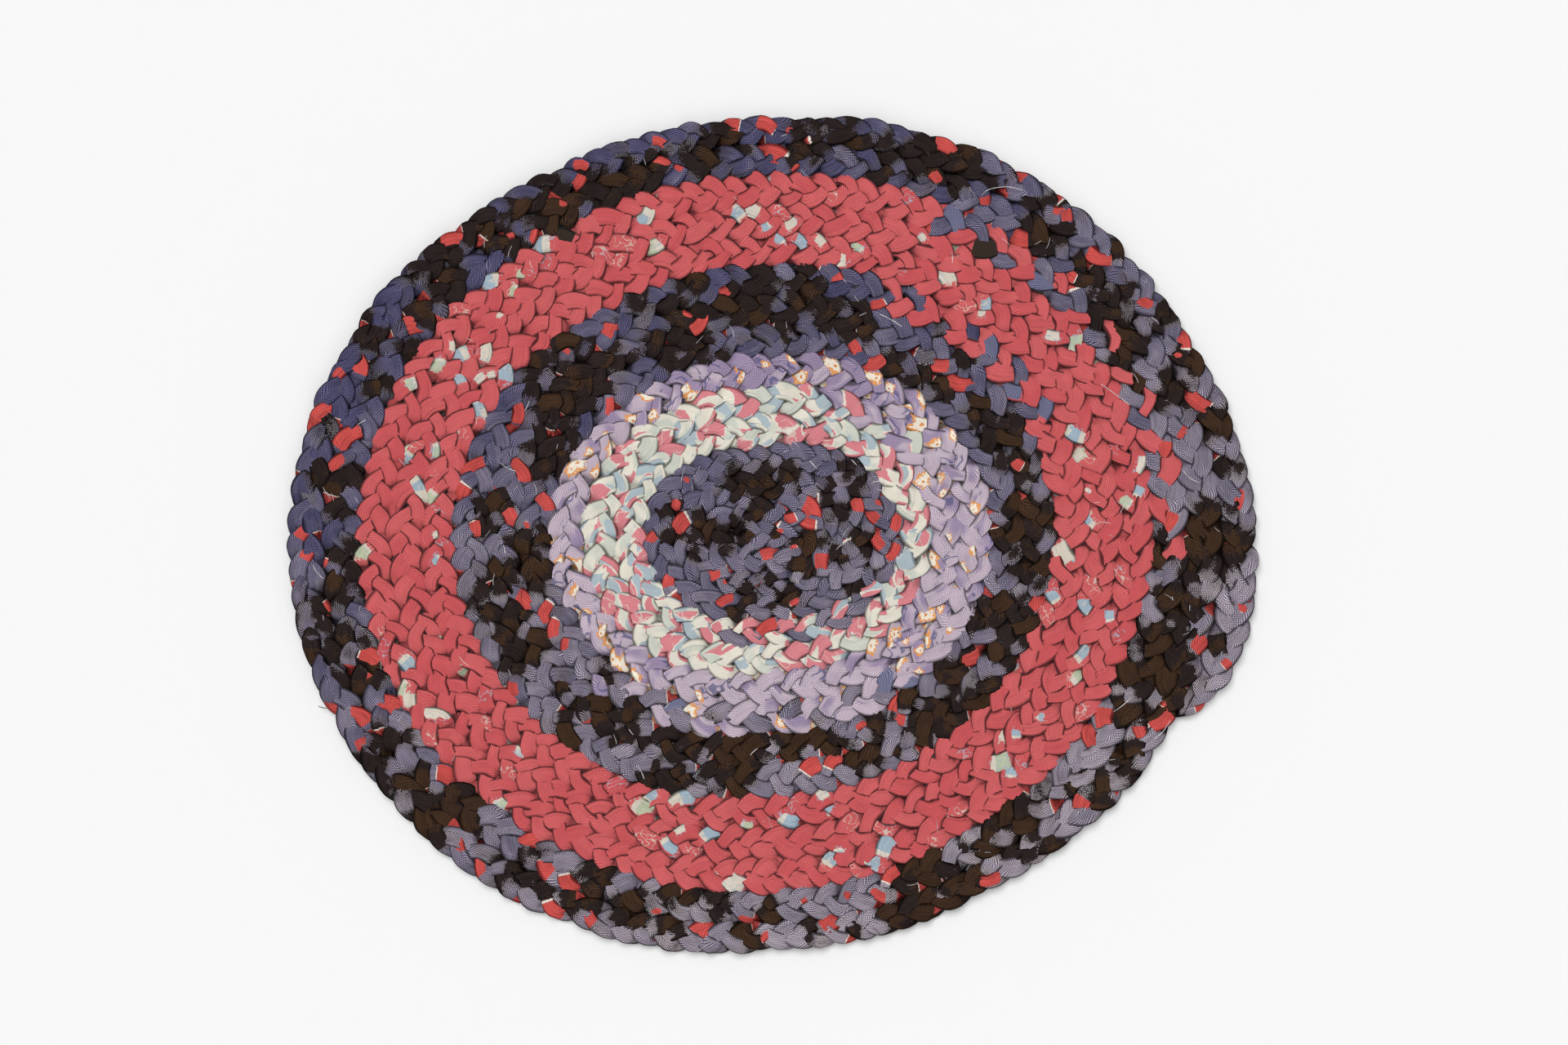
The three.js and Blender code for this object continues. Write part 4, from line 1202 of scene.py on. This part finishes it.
strandPieces = []
for number, (stretch, span) in enumerate(zip(stretches, spans)):
    name = stretch["name"]
    for strand, (first, last) in enumerate(span):
        path = paths[strand]
        points, lateral = surfaces[strand]
        places, isRound = clothPlaces(name, strand, first, last, 300 + 10 * number + strand)
        fields = spotFields(path, lateral, places, isRound)
        fields["dark"] = darkness[strand]
        fields["crease"] = creases[strand]
        fields["open"] = rims[strand]
        rows = slice(first, last + 1)
        fields = {key: values[rows] for key, values in fields.items()}
        along = path["along"][rows] + 3000 * strand
        piece = gridMesh(f"{name}_strand_{strand + 1}", points[rows], along, (lateral + foldJump)[rows],
                         fields, plait["foldColumns"])
        piece.data.materials.append(materials[name])
        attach(piece, "root")
        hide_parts(f"{name}_coil")
        strandPieces.append(piece)
print("strands", len(strandPieces), "pieces")

threads = {
    "radius": 0.13,            # of a loose end
    "lift": 0.12,              # of its middle line above the cloth
    "step": 0.7,
    "smoothed": 5,             # steps over which its line is smoothed
    "sides": 5,
    "tipShare": 0.55,          # radius at a tip as a share of the radius at the middle
    "shortCount": 90,          # short frayed ends scattered over the rug
    "shortLength": (2.0, 6.0),
    "shortRadius": 0.08,
    "shortBend": 1.1,          # most turn at their middle, in radians
    "shortMargin": 40,         # samples kept free of them at both ends of the braid
    "seed": 771,
    "pale": ((176, 172, 178), (226, 222, 220)),
    "dark": ((26, 20, 20), (64, 56, 54)),
}


def movingMean(values):
    # the mean of each value and its neighbours, with the end values repeated
    count = threads["smoothed"]
    return np.convolve(np.pad(values, count // 2, "edge"), np.ones(count) / count, "valid")


def threadLine(corners):
    # a smooth line through its corners, each stretch at an even step, lying on the cloth: the height
    # is a moving mean of the cloth's top
    corners = np.array(corners, float)
    length = np.concatenate([[0], np.cumsum(np.linalg.norm(np.diff(corners, axis=0), axis=1))])
    at = np.linspace(0, length[-1], max(5, int(length[-1] / threads["step"])))
    soft = np.column_stack([movingMean(np.interp(at, length, corners[:, k])) for k in (0, 1)])
    return np.column_stack([soft, movingMean(topAt(soft)) + threads["lift"]])


def shortEnds():
    # short bent ends at random places on the cloth: a start, a middle and an end
    random = np.random.default_rng(threads["seed"])
    margin, bend = threads["shortMargin"], threads["shortBend"]
    lines = []
    for _ in range(threads["shortCount"]):
        strand = int(random.integers(0, 3))
        sample = int(random.integers(margin, len(braid["place"]) - margin))
        start = paths[strand]["centre"][sample, :2]
        heading = random.uniform(0, 2 * np.pi)
        reach = random.uniform(*threads["shortLength"]) / 2
        turn = heading + random.uniform(-bend, bend)
        middle = start + reach * np.array([math.cos(heading), math.sin(heading)])
        end = middle + reach * np.array([math.cos(turn), math.sin(turn)])
        lines.append(threadLine([start, middle, end]))
    return lines


def threadTubes(name, lines, radii, material):
    # a tube along each line,  centre + r (cos a side + sin a up),  thinner at its ends
    sides = threads["sides"]
    angles = np.arange(sides) * 2 * np.pi / sides
    vertices, faces = [], []
    count = 0
    for line, radius in zip(lines, radii):
        tangent = np.gradient(line, axis=0)
        tangent /= np.linalg.norm(tangent, axis=1)[:, None]
        side = np.cross(tangent, (0.0, 0.0, 1.0))
        side /= np.linalg.norm(side, axis=1)[:, None]
        up = np.cross(side, tangent)
        rows = len(line)
        thin = radius * grown(threads["tipShare"], np.sin(np.linspace(0.15, np.pi - 0.15, rows)))
        ring = np.cos(angles)[None, :, None] * side[:, None] + np.sin(angles)[None, :, None] * up[:, None]
        vertices.append((line[:, None] + thin[:, None, None] * ring).reshape(-1, 3))
        row, column = np.meshgrid(np.arange(rows - 1), np.arange(sides), indexing="ij")
        a = count + row * sides + column
        b = count + row * sides + (column + 1) % sides
        faces += np.stack([b, a, a + sides, b + sides], -1).reshape(-1, 4).tolist()
        startCap = count + np.arange(sides)
        endCap = (startCap + (rows - 1) * sides)[::-1]
        faces += [startCap.tolist(), endCap.tolist()]
        count += rows * sides
    mesh = bpy.data.meshes.new(name)
    mesh.from_pydata((np.concatenate(vertices) * mm).tolist(), [], faces)
    mesh.polygons.foreach_set("use_smooth", np.ones(len(faces), bool))
    mesh.materials.append(material)
    piece = bpy.data.objects.new(name, mesh)
    bpy.context.scene.collection.objects.link(piece)
    return piece


def makeThread(name, shade, light):
    # twisted yarn: its tone changes along it, with a fine grain for the ply
    material = bpy.data.materials.new(name)
    material.use_nodes = True
    tree = material.node_tree
    shader = tree.nodes["Principled BSDF"]
    place = addNode(tree, "ShaderNodeTexCoord").outputs["Object"]
    tone = addNode(tree, "ShaderNodeTexNoise", {"Vector": place, "Scale": 420, "Detail": 2}).outputs[0]
    colour = blendColour(tree, stepMask(tree, tone, 0.35, 0.65), paint(*shade), paint(*light))
    tree.links.new(colour, shader.inputs["Base Color"])
    ply = addNode(tree, "ShaderNodeTexNoise", {"Vector": place, "Scale": 3500, "Detail": 1}).outputs[0]
    bump = addNode(tree, "ShaderNodeBump", {"Strength": 1.0, "Distance": 0.05 * mm, "Height": ply})
    tree.links.new(bump.outputs[0], shader.inputs["Normal"])
    shader.inputs["Roughness"].default_value = 0.85
    shader.inputs["Specular IOR Level"].default_value = 0.2
    return material


def makeLooseEnds():
    placed = [(kind, threadLine(fromFrame(corners))) for kind, *corners in looseEnds]
    short = shortEnds()
    pale = [line for kind, line in placed if kind == 0]
    dark = [line for kind, line in placed if kind == 1]
    radii = [threads["radius"]] * len(pale) + [threads["shortRadius"]] * len(short)
    palePiece = threadTubes("loose_ends_pale", pale + short, radii,
                            makeThread("thread_pale", *threads["pale"]))
    darkPiece = threadTubes("loose_ends_dark", dark, [threads["radius"]] * len(dark),
                            makeThread("thread_dark", *threads["dark"]))
    for piece, slot in ((palePiece, "cream_print"), (darkPiece, "plaid_outer")):
        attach(piece, "root")
    print("loose ends", len(placed) + len(short))


makeLooseEnds()

# the floor and the lights are in metres and degrees
studioFloor = {
    "flat": 3.0,               # radius of the flat part
    "sweep": 1.2,              # radius of the bend up at its edge
    "steps": 13,
    "sides": 96,
    "grey": 0.806,
}
studioLights = {
    "window": {"place": (-0.4, 0.9, 3.0), "turn": (-15, -8, 0), "strength": 2.5, "spread": 35},
    "fill": {"place": (0.6, -1.5, 3.0), "turn": (26, 11, 0), "strength": 0.5, "spread": 60},
}
skyStrength = 0.24


def makeFloor():
    # a round flat floor that sweeps up at its edge: rings whose radius and height follow a quarter
    # of a circle past the flat part
    sides, steps = studioFloor["sides"], studioFloor["steps"]
    bend = np.linspace(0, np.pi / 2, steps)[:, None]
    around = np.linspace(0, 2 * np.pi, sides, endpoint=False)[None, :]
    radius = studioFloor["flat"] + studioFloor["sweep"] * np.sin(bend)
    height = studioFloor["sweep"] * (1 - np.cos(bend)) + 0 * around
    points = np.stack([radius * np.cos(around), radius * np.sin(around), height], axis=2).reshape(-1, 3)
    corner = np.arange(sides)
    inner = corner + sides * np.arange(steps - 1)[:, None]
    after = (corner + 1) % sides + inner - corner
    quads = np.stack([inner, inner + sides, after + sides, after], axis=2).reshape(-1, 4)
    mesh = bpy.data.meshes.new("floor")
    mesh.from_pydata(points.tolist(), [], [corner.tolist()] + quads.tolist())
    mesh.shade_smooth()
    floor = bpy.data.objects.new("floor", mesh)
    bpy.context.scene.collection.objects.link(floor)
    material = bpy.data.materials.new("floor_paint")
    material.use_nodes = True
    shader = material.node_tree.nodes["Principled BSDF"]
    grey = studioFloor["grey"]
    shader.inputs["Base Color"].default_value = (grey, grey, grey, 1)
    shader.inputs["Roughness"].default_value = 1.0
    shader.inputs["Specular IOR Level"].default_value = 0.0
    floor.data.materials.append(material)


def makeLight(name, place, turn, strength, spread):
    light = bpy.data.lights.new(name, "SUN")
    light.energy = strength
    light.angle = math.radians(spread)
    lamp = bpy.data.objects.new(name, light)
    lamp.location = place
    lamp.rotation_euler = [math.radians(v) for v in turn]
    bpy.context.scene.collection.objects.link(lamp)


def makeCamera():
    data = bpy.data.cameras.new("camera")
    data.sensor_width = viewFrame["sensorWidth"]
    viewWidth = viewFrame["width"] * viewFrame["mmPerPixel"]
    data.lens = viewFrame["sensorWidth"] * viewFrame["cameraHeight"] / viewWidth
    camera = bpy.data.objects.new("camera", data)
    frameMiddle = fromFrame([(viewFrame["width"] / 2, viewFrame["height"] / 2)])[0]
    camera.location = (frameMiddle[0] * mm, frameMiddle[1] * mm, viewFrame["cameraHeight"] * mm)
    bpy.context.scene.collection.objects.link(camera)
    bpy.context.scene.camera = camera


def makeSky():
    # white light from all round
    sky = bpy.data.worlds.new("studio")
    bpy.context.scene.world = sky
    sky.use_nodes = True
    background = sky.node_tree.nodes["Background"]
    background.inputs["Color"].default_value = (1, 1, 1, 1)
    background.inputs["Strength"].default_value = skyStrength


makeFloor()
for name, light in studioLights.items():
    makeLight(name, **light)
makeSky()
makeCamera()
bpy.context.scene.view_settings.view_transform = "Standard"
print("floor, lights and camera")
